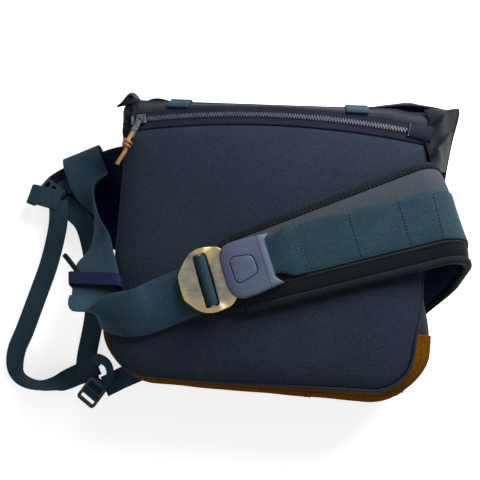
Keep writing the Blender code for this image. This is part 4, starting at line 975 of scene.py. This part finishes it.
pad_cloth, pad_shader = principled("pad_cloths")
tree = pad_cloth.node_tree
at = tree.nodes.new("ShaderNodeTexCoord")
ribs = placed(tree, weave, Across=0.0, Along=450.0, Slant=0.0)
rip = placed(tree, weave, Across=330.0, Along=330.0, Slant=0.0)
split = tree.nodes.new("ShaderNodeSeparateXYZ")
for node_input in (ribs.inputs["Vector"], rip.inputs["Vector"], split.inputs[0]):
    tree.links.new(at.outputs["UV"], node_input)
upper = calc(tree, "GREATER_THAN", split.outputs[0], 0.0)
grey = blend_colour(tree, ribs.outputs[0], (0.018, 0.023, 0.030), (0.078, 0.096, 0.122))
navy = blend_colour(tree, rip.outputs[0], (0.002, 0.003, 0.004), (0.009, 0.012, 0.016))
both = blend_colour(tree, upper, navy, grey)
worn = calc(tree, "MULTIPLY", calc(tree, "MULTIPLY", clouds(tree, 40.0, 4.0), 0.25), upper)
tree.links.new(blend_colour(tree, worn, both, (0.045, 0.055, 0.070)), pad_shader.inputs["Base Color"])
pad_shader.inputs["Roughness"].default_value = 0.75
pad_shader.inputs["Specular IOR Level"].default_value = 0.08
raised(tree, pad_shader, ribs.outputs[0], 0.7, 0.0003)
cover = sheet("pad_cover_cloth", cover_grid[:, ::-1], 0.001, pad_cloth, cover_uv[:, ::-1])
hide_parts("pad_cover", "pad_foam")
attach(cover, "strap_pad")
lining_grid = pad_grid(places, -0.0008 - 0.0046 * swell, 220)
pad_lining = sheet("pad_lining_cloth", lining_grid, 0.0008, lining_cloth)
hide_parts("pad_lining")
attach(pad_lining, "strap_pad")

# Bindings. Dark green-grey ribbed tape folded over the pad's edges, with a row of stitches; the
# high edge carries a second fold inside it, and a black cord runs along the webbing's low edge.
binding_cloth = woven(
    "dark_binding", (0.012, 0.018, 0.022), (0.004, 0.006, 0.008), (0.018, 0.025, 0.030), (700, 240, 0),
    rough=0.7, depth=0.0003, strength=0.6,
)


def pad_frames(line):
    """Across-the-pad and outward directions along a line on it."""
    step = np.gradient(line, axis=0)
    step = step / np.linalg.norm(step, axis=1)[:, None]
    side = np.array((*strap_across, 0.0)) - step * (step @ np.array((*strap_across, 0.0)))[:, None]
    side = side / np.linalg.norm(side, axis=1)[:, None]
    return side, np.cross(step, side)


def pad_roll(name, across, start, offset, profile, material, count=200, stop=1.0):
    """A roll along the pad at a distance across it."""
    line = pad_line(start, across, offset, count, stop)[:, :3]
    side, up = pad_frames(line)
    return sweep(name, line, side, up, profile, material), line, side, up


pad_tape = oval(0.0082, 0.0088)
for name, part, sign in (("low", 0.0, -1), ("high", 1.0, 1)):
    roll_piece, line, side, up = pad_roll(
        "pad_edge_tape_" + name, lambda s, part=part, sign=sign: pad_edge(s, part) + sign * 0.0012,
        pad_tip(part), 0.0, pad_tape, binding_cloth,
    )
    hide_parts("pad_binding_" + name)
    row = line + up * 0.0042 - side * sign * 0.0022
    sewn = stitches("pad_stitch_" + name, row, up, 0.0042, 0.0004, grey_thread)
    for piece in (roll_piece, sewn):
        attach(piece, "strap_pad")
fold, *_ = pad_roll(
    "pad_fold", lambda s: pad_edge(s, 1.0) - 0.0075, pad_tip(0.98), 0.0026, oval(0.0034, 0.0030), dark_thread
)
cord_piece, *_ = pad_roll(
    "pad_piping", lambda s: 0 * s - 0.0275, PAD_START + 0.012, 0.0050, roll(0.0017, 10), dark_thread
)
for piece in (fold, cord_piece):
    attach(piece, "strap_pad")
tip_part = np.linspace(0, 1, 60)
tip_s = pad_tip(tip_part)
tip_across = pad_edge(tip_s, tip_part)
tip_flat = STRAP_AT + strap_way * (tip_s - 0.0012)[:, None] + strap_across * tip_across[:, None]
tip_line = np.column_stack([tip_flat, np.full(60, PAD_Z)])
tip_side, tip_up = frames(tip_line)
tip = sweep("pad_tip_tape", tip_line, tip_side, tip_up, pad_tape, binding_cloth)
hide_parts("pad_binding_tip")
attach(tip, "strap_pad")

# Strap webbing on the pad. 50 mm teal webbing sewn along the pad; its left end is folded back
# with its corners tucked in, and four rows of stitches cross it.
WEB_W, WEB_T = 0.050, 0.0016


def tucked(s):
    """Share of the webbing's width left near its folded end, where the corners are tucked in."""
    return 1 - 0.24 * (1 - np.clip((s - 0.036) / 0.013, 0, 1))


web_count = 240
web_line = pad_line(0.006, lambda s: 0 * s, 0.0062, web_count, 0.86)
web_mid, web_s = web_line[:, :3], web_line[:, 3]
web_side, web_up = pad_frames(web_mid)
narrow = np.where(web_mid[:, 2] < 0.10, 1.0, tucked(web_s))
web_profile = ribbon_profile(WEB_W, WEB_T)[None] * np.stack([narrow, np.ones(web_count)], axis=-1)[:, None]
pad_web = sweep("pad_strap", web_mid, web_side, web_up, web_profile, webbing_cloth)
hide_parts("pad_webbing")
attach(pad_web, "strap_pad")
fold_s = np.linspace(0.020, 0.0630, 60)
fold_mid = np.column_stack([STRAP_AT + strap_way * fold_s[:, None], np.full(60, PAD_Z + 0.0077)])
fold_mid[:, 2] += 0.0016 * np.sin(np.pi * np.clip((fold_s - 0.03) / 0.034, 0, 1))
narrow = np.stack([tucked(fold_s), np.ones(60)], axis=-1)
fold_profile = ribbon_profile(WEB_W - 0.001, WEB_T)[None] * narrow[:, None]
folded = sweep("webbing_fold", fold_mid, (*strap_across, 0.0), (0, 0, 1.0), fold_profile, webbing_cloth)
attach(folded, "strap_pad")
for number, s_row in enumerate((0.061, 0.1155, 0.165, 0.198)):
    place = np.argmin(np.abs(web_s[: web_count // 2 + 60] - s_row))
    lift = 0.0026 if number == 0 else 0.0009
    row = web_mid[place] + web_side[place] * np.linspace(-0.0225, 0.0225, 12)[:, None] + web_up[place] * lift
    sewn = stitches(f"webbing_stitch_{number + 1}", row, web_up[place], 0.0033, 0.0005, dark_thread)
    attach(sewn, "strap_pad")

# Buckle housing and button. Slate-blue moulded plastic: a rounded body whose right end forks into
# two points over the webbing, a parting groove near that end, and a kite-shaped button in a well.
# The groove is not cut into the shape: a thin line of painted shade stands for it.
BUCKLE_AT, BUCKLE_ANGLE = np.array((-0.0132, -0.0213, 0.118)), math.radians(21)
cos_turn, sin_turn = math.cos(BUCKLE_ANGLE), math.sin(BUCKLE_ANGLE)
buckle_turn = np.array(((cos_turn, -sin_turn, 0), (sin_turn, cos_turn, 0), (0, 0, 1)))
HOUSING_LINE = np.array([
    (28.5, 27.6), (21.8, 22.0), (22.0, 3.0), (22.0, -16.5), (28.5, -23.8), (15, -25.4),
    (-4, -27.6), (-16, -27.4), (-23.6, -21.5), (-26.3, -11), (-26.6, 3.5), (-26, 17.5),
    (-22.8, 25.2), (-16.5, 28.6), (-6, 29.2), (13, 28.2),
]) / 1000.0
BUTTON_LINE = np.array([
    (-17, 11.0), (-13.2, 14.2), (3.2, 11.4), (6.7, 8.0),
    (7.2, -5.2), (4.9, -8.4), (-13.0, -13.0), (-16.4, -10.2),
]) / 1000.0
GROOVE_A, SPRING_FOOT_Z, BUTTON_TRAVEL = 0.0150, 0.1198, 0.0022


def rounded_line(corners, radius, count):
    """A closed outline with its corners cut by a curve that starts at the radius from each one."""
    corners = np.asarray(corners, float)
    radius = np.broadcast_to(radius, len(corners))
    t = np.linspace(0, 1, 9)[:, None]
    line = []
    for before, here, after, r in zip(np.roll(corners, 1, 0), corners, np.roll(corners, -1, 0), radius):
        a = here + (before - here) * min(0.48, r / np.linalg.norm(before - here))
        b = here + (after - here) * min(0.48, r / np.linalg.norm(after - here))
        line.append((1 - t) ** 2 * a + 2 * t * (1 - t) * here + t ** 2 * b)
    line = np.concatenate(line)
    return spread(np.concatenate([line, line[:1]]), count + 1)[:-1]


def inset(line, distance):
    """An outline drawn in evenly, along the inward normals of its points."""
    step = np.roll(line, -1, 0) - np.roll(line, 1, 0)
    inward = np.stack([-step[:, 1], step[:, 0]], axis=-1)
    inward = inward / np.linalg.norm(inward, axis=1)[:, None]
    turn = np.sign(np.sum(line[:, 0] * np.roll(line[:, 1], -1) - np.roll(line[:, 0], -1) * line[:, 1]))
    return line + inward * distance * turn


def loft(name, rings, material, move=None, hole=False):
    """A solid through rings of equal counts: closed by flat caps, or by its first ring if it has a hole."""
    rings = np.asarray(rings, float)
    if move is not None:
        rings = rings @ move[0].T + move[1]
    rows, columns = rings.shape[:2]
    if hole:
        rings = np.concatenate([rings, rings[:1]])
        return put(name, rings, quads(rows + 1, columns, wrap=True), rings[..., :2], True, material)
    index = np.arange(columns)
    caps = [index[::-1].tolist(), (index + (rows - 1) * columns).tolist()]
    faces = quads(rows, columns, wrap=True).tolist() + caps
    return put(name, rings, faces, rings[..., :2], True, material)


def level(line, z):
    """An outline at a height."""
    return np.column_stack([line, np.full(len(line), z) if np.isscalar(z) else z])


def plastic(name, dark, light, groove=False):
    """Moulded plastic with a fine grain; the groove is a thin line of painted shade across the buckle's right
    part.
    """
    made, shader = principled(name)
    tree = made.node_tree
    scuff = clouds(tree, 90.0, 5.0)
    colour = blend_colour(tree, scuff, dark, light)
    if groove:
        at = tree.nodes.new("ShaderNodeTexCoord")
        local = tree.nodes.new("ShaderNodeMapping")
        local.vector_type = "TEXTURE"
        local.inputs["Location"].default_value = BUCKLE_AT
        local.inputs["Rotation"].default_value = (0, 0, BUCKLE_ANGLE)
        tree.links.new(at.outputs["Object"], local.inputs["Vector"])
        split = tree.nodes.new("ShaderNodeSeparateXYZ")
        tree.links.new(local.outputs[0], split.inputs[0])
        # Painted shade of the parting groove: a thin line at 0.16 of the dark colour.
        away = calc(tree, "ABSOLUTE", calc(tree, "SUBTRACT", split.outputs[0], GROOVE_A))
        groove_shade_mask = calc(tree, "LESS_THAN", away, 0.00032)
        colour = blend_colour(tree, groove_shade_mask, colour, tuple(0.16 * c for c in dark))
    tree.links.new(colour, shader.inputs["Base Color"])
    tree.links.new(calc(tree, "MULTIPLY_ADD", scuff, 0.12, 0.42), shader.inputs["Roughness"])
    shader.inputs["Specular IOR Level"].default_value = 0.3
    raised(tree, shader, clouds(tree, 1400.0, 2.0), 0.25, 0.0001)
    return made


slate = plastic("slate_plastic", (0.066, 0.086, 0.140), (0.082, 0.104, 0.166), groove=True)
dark_slate = plastic("dark_slate_plastic", (0.012, 0.017, 0.032), (0.020, 0.027, 0.046))
buckle_move = (buckle_turn, BUCKLE_AT)
shell_rounds = np.array((0.8, 3, 3, 3, 0.8, 4) + 10 * (9,)) / 1000
shell = rounded_line(HOUSING_LINE, shell_rounds, 240)
well_line = inset(rounded_line(BUTTON_LINE, 0.004, 240), -0.0006)
WELL_MIDDLE = np.array((-0.012, 0.0))


def polar(line):
    """Direction and distance of an outline's points from the well's middle."""
    away = line - WELL_MIDDLE
    return np.arctan2(away[:, 1], away[:, 0]), np.linalg.norm(away, axis=1)


def drawn(line, distance):
    """An outline drawn in by a distance towards the well's middle."""
    return line - (line - WELL_MIDDLE) / polar(line)[1][:, None] * distance


shell_turn, shell_far = polar(shell)
well_turn, well_far = polar(well_line)
order = np.argsort(well_turn)
well_reach = np.interp(shell_turn, well_turn[order], well_far[order], period=2 * np.pi)
well = WELL_MIDDLE + (shell - WELL_MIDDLE) * (well_reach / shell_far)[:, None]


def housing_top(line):
    """Height of the housing's top face: highest at the button, lower at the left rim and forked end."""
    a = line[:, 0]
    rim_drop = 0.0030 * np.clip((-a - 0.012) / 0.0146, 0, 1) ** 2
    return 0.0132 - rim_drop - 0.0042 * np.clip((a - 0.016) / 0.012, 0, 1) ** 1.5


rings = [level(drawn(shell, 0.0012), 0.0018), level(shell, 0.0030)]
for back, drop in ((0.0, 0.0026), (0.0004, 0.0011), (0.0011, 0.0004), (0.0022, 0.0)):
    ring = drawn(shell, back)
    rings.append(level(ring, housing_top(ring) - drop))
for part in (0.25, 0.5, 0.75, 0.92):
    ring = drawn(shell, 0.0022) * (1 - part) + well * part
    rings.append(level(ring, housing_top(ring)))
for back, drop in ((0.0, 0.0002), (0.0003, 0.0008), (0.0003, 0.0078)):
    ring = drawn(well, back)
    rings.append(level(ring, housing_top(ring) - drop))
housing = loft("housing_shell", rings, slate, buckle_move)
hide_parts("buckle_housing")
rings = [level(drawn(shell, back), z) for back, z in ((0.0015, 0.0), (0.0006, 0.0007), (0.0006, 0.0015))]
foot = loft("housing_foot", rings, slate, buckle_move)
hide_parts("buckle_base")
cap = rounded_line(BUTTON_LINE, 0.004, 160)
rings = []
for share, z in (
    (0.975, 0.0100), (0.98, 0.0127), (0.955, 0.0132), (0.90, 0.0135), (0.70, 0.01368), (0.35, 0.0137),
):
    rings.append(level(cap.mean(axis=0) * (1 - share) + cap * share, z))
button = loft("button_cap", rings, slate, buckle_move)
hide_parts("push_button")
for piece, body in ((housing, "strap_pad"), (foot, "strap_pad"), (button, "button")):
    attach(piece, body)
keep("latch_plate", zip_metal)
spring = keep("latch_spring", zip_metal)
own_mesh(spring)

# Brass buckle. A cast plate with a slot for the webbing: antique grey-brown on its brushed faces,
# rubbed to bright gold on its rim and on the two raised cheeks at the ends of the bar.
brass, brass_shader = principled("antique_brass")
tree = brass.node_tree
at = tree.nodes.new("ShaderNodeTexCoord")
stretch = tree.nodes.new("ShaderNodeMapping")
stretch.inputs["Rotation"].default_value = (0, 0, BUCKLE_ANGLE)
stretch.inputs["Scale"].default_value = (60, 900, 60)
tree.links.new(at.outputs["Object"], stretch.inputs["Vector"])
brush = placed(tree, fading, Scale=1.0, Detail=3.0)
tree.links.new(stretch.outputs[0], brush.inputs["Vector"])
rubbed = tree.nodes.new("ShaderNodeAttribute")
rubbed.attribute_name = "rubbed"
rub = rubbed.outputs["Fac"]
dull = blend_colour(tree, clouds(tree, 120.0, 6.0), (0.132, 0.117, 0.094), (0.218, 0.198, 0.162))
dull = blend_colour(tree, calc(tree, "MULTIPLY", brush.outputs[0], 0.45), dull, (0.271, 0.244, 0.198))
tree.links.new(blend_colour(tree, rub, dull, (0.46, 0.32, 0.105)), brass_shader.inputs["Base Color"])
brass_shader.inputs["Metallic"].default_value = 0.9
tree.links.new(calc(tree, "MULTIPLY_ADD", rub, -0.18, 0.54), brass_shader.inputs["Roughness"])
BRASS_HALF_LINE = np.array([
    (-71.2, 0.0), (-70.4, 12.5), (-60.5, 25.0), (-53.5, 30.2), (-44, 32.6),
    (-32, 31.8), (-25, 29.8), (-19.5, 24.5), (-17.0, 0.0),
]) / 1000.0
SLOT_CORNERS = np.array([(-51, -26.5), (-37.6, -26.5), (-37.6, 26.5), (-51, 26.5)]) / 1000.0
other_half = (BRASS_HALF_LINE * (1, -1))[-2:0:-1]
brass_line = rounded_line(np.concatenate([BRASS_HALF_LINE, other_half]), 0.003, 400)
slot_line = rounded_line(SLOT_CORNERS, 0.0025, 200)
centre = np.array((-0.0443, 0.0))


def at_angles(line):
    """The outline read at even directions from the slot's middle."""
    turn = np.linspace(-np.pi, np.pi, 360, endpoint=False)
    angle = np.arctan2(*(line - centre).T[::-1])
    line, angle = line[np.argsort(angle)], np.sort(angle)
    far = np.linalg.norm(line - centre, axis=1)
    far = np.interp(turn, angle, far, period=2 * np.pi)
    return centre + np.stack([np.cos(turn), np.sin(turn)], axis=-1) * far[:, None]


rim, slot_rim = at_angles(brass_line), at_angles(slot_line)


def brass_top(line):
    """Height of the brass face: it rises towards its left edge, and humps at the bar's two ends."""
    a, b = line[:, 0] - centre[0], np.abs(line[:, 1])
    hump = 0.0038 * smooth((b - 0.021) / 0.006) * np.exp(-(a / 0.0105) ** 4)
    return 0.0088 + 0.0010 * np.clip((-a - 0.008) / 0.018, 0, 1) + hump


rings, wear = [], []
for part, drop, worn in (
    (0.0, 0.0016, 0.8), (0.0, 0.0011, 1.0), (0.02, 0.0004, 1.0), (0.05, 0.0, 0.5), (0.10, 0.0, 0.0),
    (0.4, 0.0002, 0.0), (0.7, 0.0001, 0.0), (0.93, 0.0, 0.1), (1.0, 0.0006, 0.35), (1.0, 0.0024, 0.2),
):
    line = rim * (1 - part) + slot_rim * part
    rings.append(level(line, brass_top(line) - drop))
    a, b = line[:, 0] - centre[0], np.abs(line[:, 1])
    hump = smooth((b - 0.021) / 0.006) * np.exp(-(a / 0.0125) ** 4)
    wear.append(np.maximum(worn, 0.6 * hump))
rings.append(level(rim * 0.05 + slot_rim * 0.95, 0.0063))
rings.append(level(rim * 0.95 + slot_rim * 0.05, 0.0063))
wear += [np.full(360, 0.2), np.full(360, 0.5)]
plate = loft("brass_plate", rings, brass, buckle_move, hole=True)
worn_layer = plate.data.attributes.new("rubbed", "FLOAT", "POINT")
worn_layer.data.foreach_set("value", np.concatenate(wear).astype(np.float32)[: len(plate.data.vertices)])
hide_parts("brass_buckle")
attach(plate, "strap_pad")
keep("buckle_bar", brass)

# Webbing round the bar. The strap comes up through the brass slot, wraps the bar and goes back
# under it.
BAR_A, BAR_Z = -0.0443, 0.0093
turn = np.linspace(math.radians(-50), math.radians(230), 40)
wrap_a, wrap_z = BAR_A + 0.0046 * np.cos(turn), BAR_Z - 0.0002 + 0.0040 * np.sin(turn)
wrap_line = np.column_stack([wrap_a, np.zeros(40), wrap_z]) @ buckle_turn.T + BUCKLE_AT
wrap_up = np.column_stack([np.cos(turn), np.zeros(40), np.sin(turn)]) @ buckle_turn.T
web_band = ribbon_profile(WEB_W, WEB_T)
wrap = sweep("strap_round_bar", wrap_line, buckle_turn[:, 1], wrap_up, web_band, webbing_cloth)
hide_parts("bar_webbing")
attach(wrap, "strap_pad")

# Main strap. The 50 mm webbing leaves the brass slot, crosses the panel's left edge, drops to the
# table beside the bag and is turned under the wing; a cloth keeper holds its tail.
MAIN_ROUTE = np.array([
    (-50, -38, 121.5, 0.36, -0.93, 0), (-95, -60, 117, 0.37, -0.92, -0.15),
    (-118, -72, 119, 0.37, -0.85, -0.38), (-139, -77, 120, 0.33, -0.8, -0.5),
    (-159, -80, 119, 0.1, -0.6, -0.8), (-168, -73, 118, 0.6, -0.3, -0.55),
    (-168, -60, 115, 0.95, 0, -0.1), (-172.5, -44, 109.6, 0.95, 0.2, 0.02),
    (-184, -20, 94, 0.88, 0.1, 0.4), (-192, 3, 77, 0.6, -0.14, 0.79), (-202, 30, 62, 0.4, -0.13, 0.91),
    (-212, 55, 49, 0.4, 0.05, 0.91), (-228, 84, 33, 0.9, 0.44, 0), (-243, 108, 26, 0.9, 0.44, 0),
    (-250, 122, 20.5, 0.9, 0.44, 0), (-252, 127, 12, 0.9, 0.44, 0), (-250, 122, 4, 0.9, 0.44, 0),
    (-243, 108, 4, 0.9, 0.44, 0), (-234, 90, 5.8, 0.9, 0.44, 0),
])
INNER_ROUTE = np.array([
    (-205, -160, 7.8, 0.96, -0.3, 0), (-213, -137, 6.5, 0.99, -0.12, 0), (-211, -89, 5, 1, -0.03, 0),
    (-212, -56, 6, 1, 0.07, 0), (-215, -22, 14, 1, 0.1, 0), (-220, 5, 21, 0.9, 0.44, 0),
    (-233, 32, 21, 0.69, 0.72, 0), (-251, 47.3, 21, 0.53, 0.85, 0), (-266.1, 56.7, 21, 0.53, 0.85, 0),
])
OUTER_ROUTE = np.array([
    (-268, 57, 26.2, 0.99, 0.1, 0), (-265, 42, 26, 0.99, -0.1, 0), (-266, 24, 22, 0.97, -0.2, 0),
    (-274, -3, 10, 0.96, -0.27, 0), (-281, -29, 4, 0.95, -0.3, 0), (-290, -67, 3, 0.95, -0.3, 0),
    (-299, -106, 3, 0.96, -0.25, 0), (-305, -130, 4, 0.99, -0.05, 0.05), (-301, -150, 8, 0.88, 0.4, 0.2),
    (-286, -164, 13, 0.45, 0.65, 0.59), (-263, -168.5, 14, 0.08, 0.58, 0.81),
    (-245, -165, 12, -0.3, 0.6, 0.74), (-231, -158, 4.6, -0.45, 0.85, 0.25),
    (-215, -148.5, 2.2, -0.5, 0.86, 0), (-200, -139.5, 2.2, -0.5, 0.86, 0),
])
CORNER_ROUTE = np.array([
    (-141.5, -139.5, 17, 0.5, -0.85, 0.1), (-162, -150, 13, 0.5, -0.86, 0.05), (-176, -158, 8, 0.5, -0.86, 0),
    (-186.5, -164, 5.6, 0.5, -0.86, 0),
])
TAIL_ROUTE = np.array([
    (-186, -162, 14.6, 0.8, 0.3, 0.5), (-177, -149, 19, 0.75, 0.3, 0.6), (-181, -136, 20, 0.55, 0.6, 0.6),
    (-193, -131, 18, 0.2, 0.78, 0.6), (-200, -137, 14, 0.1, 0.8, 0.6),
])
LOOP_ROUTE = np.array([
    (-265, 57, 28.2, 0.2, 0.98, 0), (-284, 61, 28.2, 0.2, 0.98, 0), (-301, 64.5, 27.6, 0.2, 0.98, 0),
    (-309, 66, 22, 0.2, 0.98, 0), (-309, 66, 14, 0.2, 0.98, 0), (-304, 65, 9, 0.2, 0.98, 0),
])
LOCK_ROUTE = np.array([
    (-258, 82, 18.6, 0.57, -0.82, 0), (-270, 74, 18.6, 0.57, -0.82, 0), (-280, 67, 18.6, 0.57, -0.82, 0),
])
# A lighter copy of the teal webbing for the straps off the pad: painted light, the same webbing in fact.
painted_light_webbing = woven(
    "strap_webbing_painted_light", (0.034, 0.078, 0.114), (0.013, 0.031, 0.048), (0.046, 0.098, 0.136), (560, 620, 0),
    rough=0.6, depth=0.0003, strength=0.7, cloud=40.0,
)


def route(keys, count):
    """Middle, width direction and face of webbing along route keys: place in mm and width direction."""
    rows = curve(keys * (0.001, 0.001, 0.001, 1e-5, 1e-5, 1e-5), count)
    middle = rows[:, :3]
    step = np.gradient(middle, axis=0)
    step = step / np.linalg.norm(step, axis=1)[:, None]
    side = rows[:, 3:] * 1e5
    side = side - step * (side * step).sum(axis=1)[:, None]
    side = side / np.linalg.norm(side, axis=1)[:, None]
    return middle, side, np.cross(step, side)


def strap(name, keys, width, thick, count, node):
    """Webbing along a route, standing for a solid of the part, in the lighter copy of the webbing that is
    painted light.
    """
    middle, side, face = route(keys, count)
    made = sweep(name, middle, side, face, ribbon_profile(width, thick), painted_light_webbing)
    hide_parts(node)
    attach(made, "bag")
    return made, middle, run(middle[:, None], 0)[-1, 0]


STAB_W, STAB_T = 0.025, 0.0015
main_strap, main_middle, main_length = strap("main_strap", MAIN_ROUTE, WEB_W, WEB_T, 260, "main_webbing")
inner_strap, inner_middle, inner_length = strap(
    "inner_strap", INNER_ROUTE, STAB_W, STAB_T, 160, "stabiliser_inner"
)
outer_strap, outer_middle, outer_length = strap(
    "outer_strap", OUTER_ROUTE, STAB_W, STAB_T, 200, "stabiliser_outer"
)
strap("corner_strap", CORNER_ROUTE, STAB_W, STAB_T, 40, "corner_tab")
strap("lock_strap", LOCK_ROUTE, STAB_W - 0.004, 0.0012, 20, "lock_tab")
strap("loop_strap", LOOP_ROUTE, STAB_W, STAB_T, 60, "lock_loop")
strap("tail_strap", TAIL_ROUTE, 0.015, STAB_T, 50, "stabiliser_tail")

# Keeper. A slanted loop of blue-navy cloth sewn round the main webbing where it leaves the bag's
# side; the rolled tip of the strap's tail sticks out of its left end.
middle, side, face = route(MAIN_ROUTE, 401)
near = np.argmin(np.linalg.norm(middle - MAIN_ROUTE[7, :3] / 1000.0, axis=1))
heading = np.cross(side[near], face[near])
slanted = side[near] - heading * 0.38
loop_line = oval(WEB_W + 0.0035, 0.0116, 7.0, 96)
loop_path = middle[near] + slanted * loop_line[:, :1] + face[near] * loop_line[:, 1:]
loop_out = np.roll(loop_path, -1, 0) - np.roll(loop_path, 1, 0)
loop_out = np.cross(loop_out, heading)
loop_out = loop_out / np.linalg.norm(loop_out, axis=1)[:, None]
band = oval(0.016, 0.0014, 4.0, 20)
loop_rings = loop_path[:, None] + heading * band[:, :1] + loop_out[:, None] * band[:, 1:]
TAIL_TIP_LINE = (
    (-0.190, -0.040, 0.1075), (-0.199, -0.030, 0.1095), (-0.2065, -0.0225, 0.1095),
    (-0.2105, -0.0195, 0.1080),
)
tip_line = curve(TAIL_TIP_LINE, 30)
tip_side, tip_up = frames(tip_line)
tip_roll = oval(0.0052, 0.0038, 2.4, 20)
keeper_tip = sweep("strap_tail_tip", tip_line, tip_side, tip_up, tip_roll, binding_cloth)
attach(keeper_tip, "bag")
keeper = loft("keeper_loop", loop_rings, lining_cloth, None, hole=True)
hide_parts("webbing_keeper")
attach(keeper, "bag")

# Wing. A flat padded ear of the side that the straps pull on: navy cloth over foam, blue-navy
# lining on its upper face, bound round the edge with dark tape. The lining there is a darker copy
# of the lining cloth: painted shade from the strap that lies over it.
WING_LINE = np.array([
    (-166, 132), (-194, 134), (-225, 124), (-262, 106), (-286, 90), (-291, 80),
    (-285, 64), (-262, 45), (-236, 26), (-208, 12), (-190, 6), (-162.2, 2),
]) / 1000.0
WING_LOW, WING_TOP = 0.007, 0.0176
wing_edge = curve(WING_LINE, 160)
wing_root = np.linspace(wing_edge[-1], wing_edge[0], 40)
wing_ring = np.concatenate([wing_edge, wing_root[1:-1]])
wing_mid = np.array((-0.215, 0.068))
share = 1 - np.linspace(0, 1, 26) ** 1.5
wing_flat = wing_mid + (wing_ring - wing_mid) * share[:, None, None]
thick = 0.0053 * np.sqrt(np.maximum(0, 1 - share ** 4))[:, None] * np.ones(len(wing_ring))[None]
puff = 0.0007 * ripple(wing_flat[..., 0], wing_flat[..., 1], 31, 5, 2.2) * (1 - share ** 3)[:, None]
wing_z = (WING_LOW + WING_TOP) / 2
# A darker copy of the lining cloth for the wing's upper face: painted shade from the strap over it.
shaded_wing_lining = woven(
    "wing_lining_painted_shade", (0.011, 0.017, 0.066), (0.005, 0.008, 0.032), (0.017, 0.025, 0.085), (620, 620, 0),
    rough=0.75, depth=0.0002, strength=0.4,
)
for name, node, way, cloth, slot_name in (
    ("wing_top", "wing_lining", 1, shaded_wing_lining, "lining"),
    ("wing_under", "wing_cover", -1, gusset_nylon, "nylon"),
):
    face_z = wing_z + way * (0.0012 + thick * 0.78) + puff
    face_grid = np.concatenate([wing_flat, face_z[..., None]], axis=-1)
    back_grid = np.concatenate([wing_flat, np.full((*thick.shape, 1), wing_z)], axis=-1)[::-1]
    both = np.concatenate([face_grid[::-1], back_grid[::-1]])
    wing_piece = put(name, both, quads(len(both), len(wing_ring), wrap=True), both[..., :2], True, cloth)
    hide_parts(node)
    if way > 0:
        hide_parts("wing_foam")
    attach(wing_piece, "bag")
rim_line = np.column_stack([wing_edge, np.full(len(wing_edge), wing_z)])
rim_side, rim_up = frames(rim_line)
rim_piece = sweep("wing_edge_tape", rim_line, rim_side, rim_up, oval(0.009, 0.0096), binding_cloth)
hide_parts("wing_binding")
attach(rim_piece, "bag")

# Ladder lock and tri-glide. Flat frames of dark moulded plastic that the stabiliser webbing runs
# through; a turn of webbing goes round the tri-glide's middle bar.
for name in ("ladder_lock", "tri_glide"):
    keep(name, dark_slate, 0.0007)
GLIDE_AT, GLIDE_ANGLE = np.array((-0.199, -0.171, 0.0)), math.radians(58)
glide_way = np.array((math.cos(GLIDE_ANGLE), math.sin(GLIDE_ANGLE), 0.0))
glide_side = np.array((-glide_way[1], glide_way[0], 0.0))
GLIDE_TURNS = np.array([
    (12, 8.2), (7.5, 8.2), (4.5, 10.4), (0, 12.4), (-4.5, 11.2),
    (-6.8, 8.6), (-5, 5.8), (0, 5.0), (8, 5.0), (16, 5.2),
]) / 1000.0
turns = curve(GLIDE_TURNS, 80)
wrap_line = GLIDE_AT + glide_way * turns[:, :1] + np.array((0, 0, 1.0)) * turns[:, 1:]
wrap_step = np.gradient(turns, axis=0)
wrap_step = wrap_step / np.linalg.norm(wrap_step, axis=1)[:, None]
wrap_face = np.array((0, 0, 1.0)) * wrap_step[:, :1] - glide_way * wrap_step[:, 1:]
glide_band = ribbon_profile(0.0235, 0.0014)
glide_wrap = sweep("strap_round_glide", wrap_line, glide_side, wrap_face, glide_band, painted_light_webbing)
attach(glide_wrap, "bag")

# Inside of the bag. The sleeve's divider, the stiff boards, the front panel and the closure pads
# are the part's own solids, seen only when the flap is open.
board_plastic, *_ = mottled("board_plastic", (0.03, 0.03, 0.032), (0.05, 0.05, 0.053), 60.0, 3.0)
for name in ("frame_sheet", "base_board"):
    keep(name, board_plastic)
for name in ("front_panel", "sleeve_divider"):
    keep(name, lining_cloth)
for name in ("closure_hook", "closure_loop"):
    keep(name, binding_cloth)
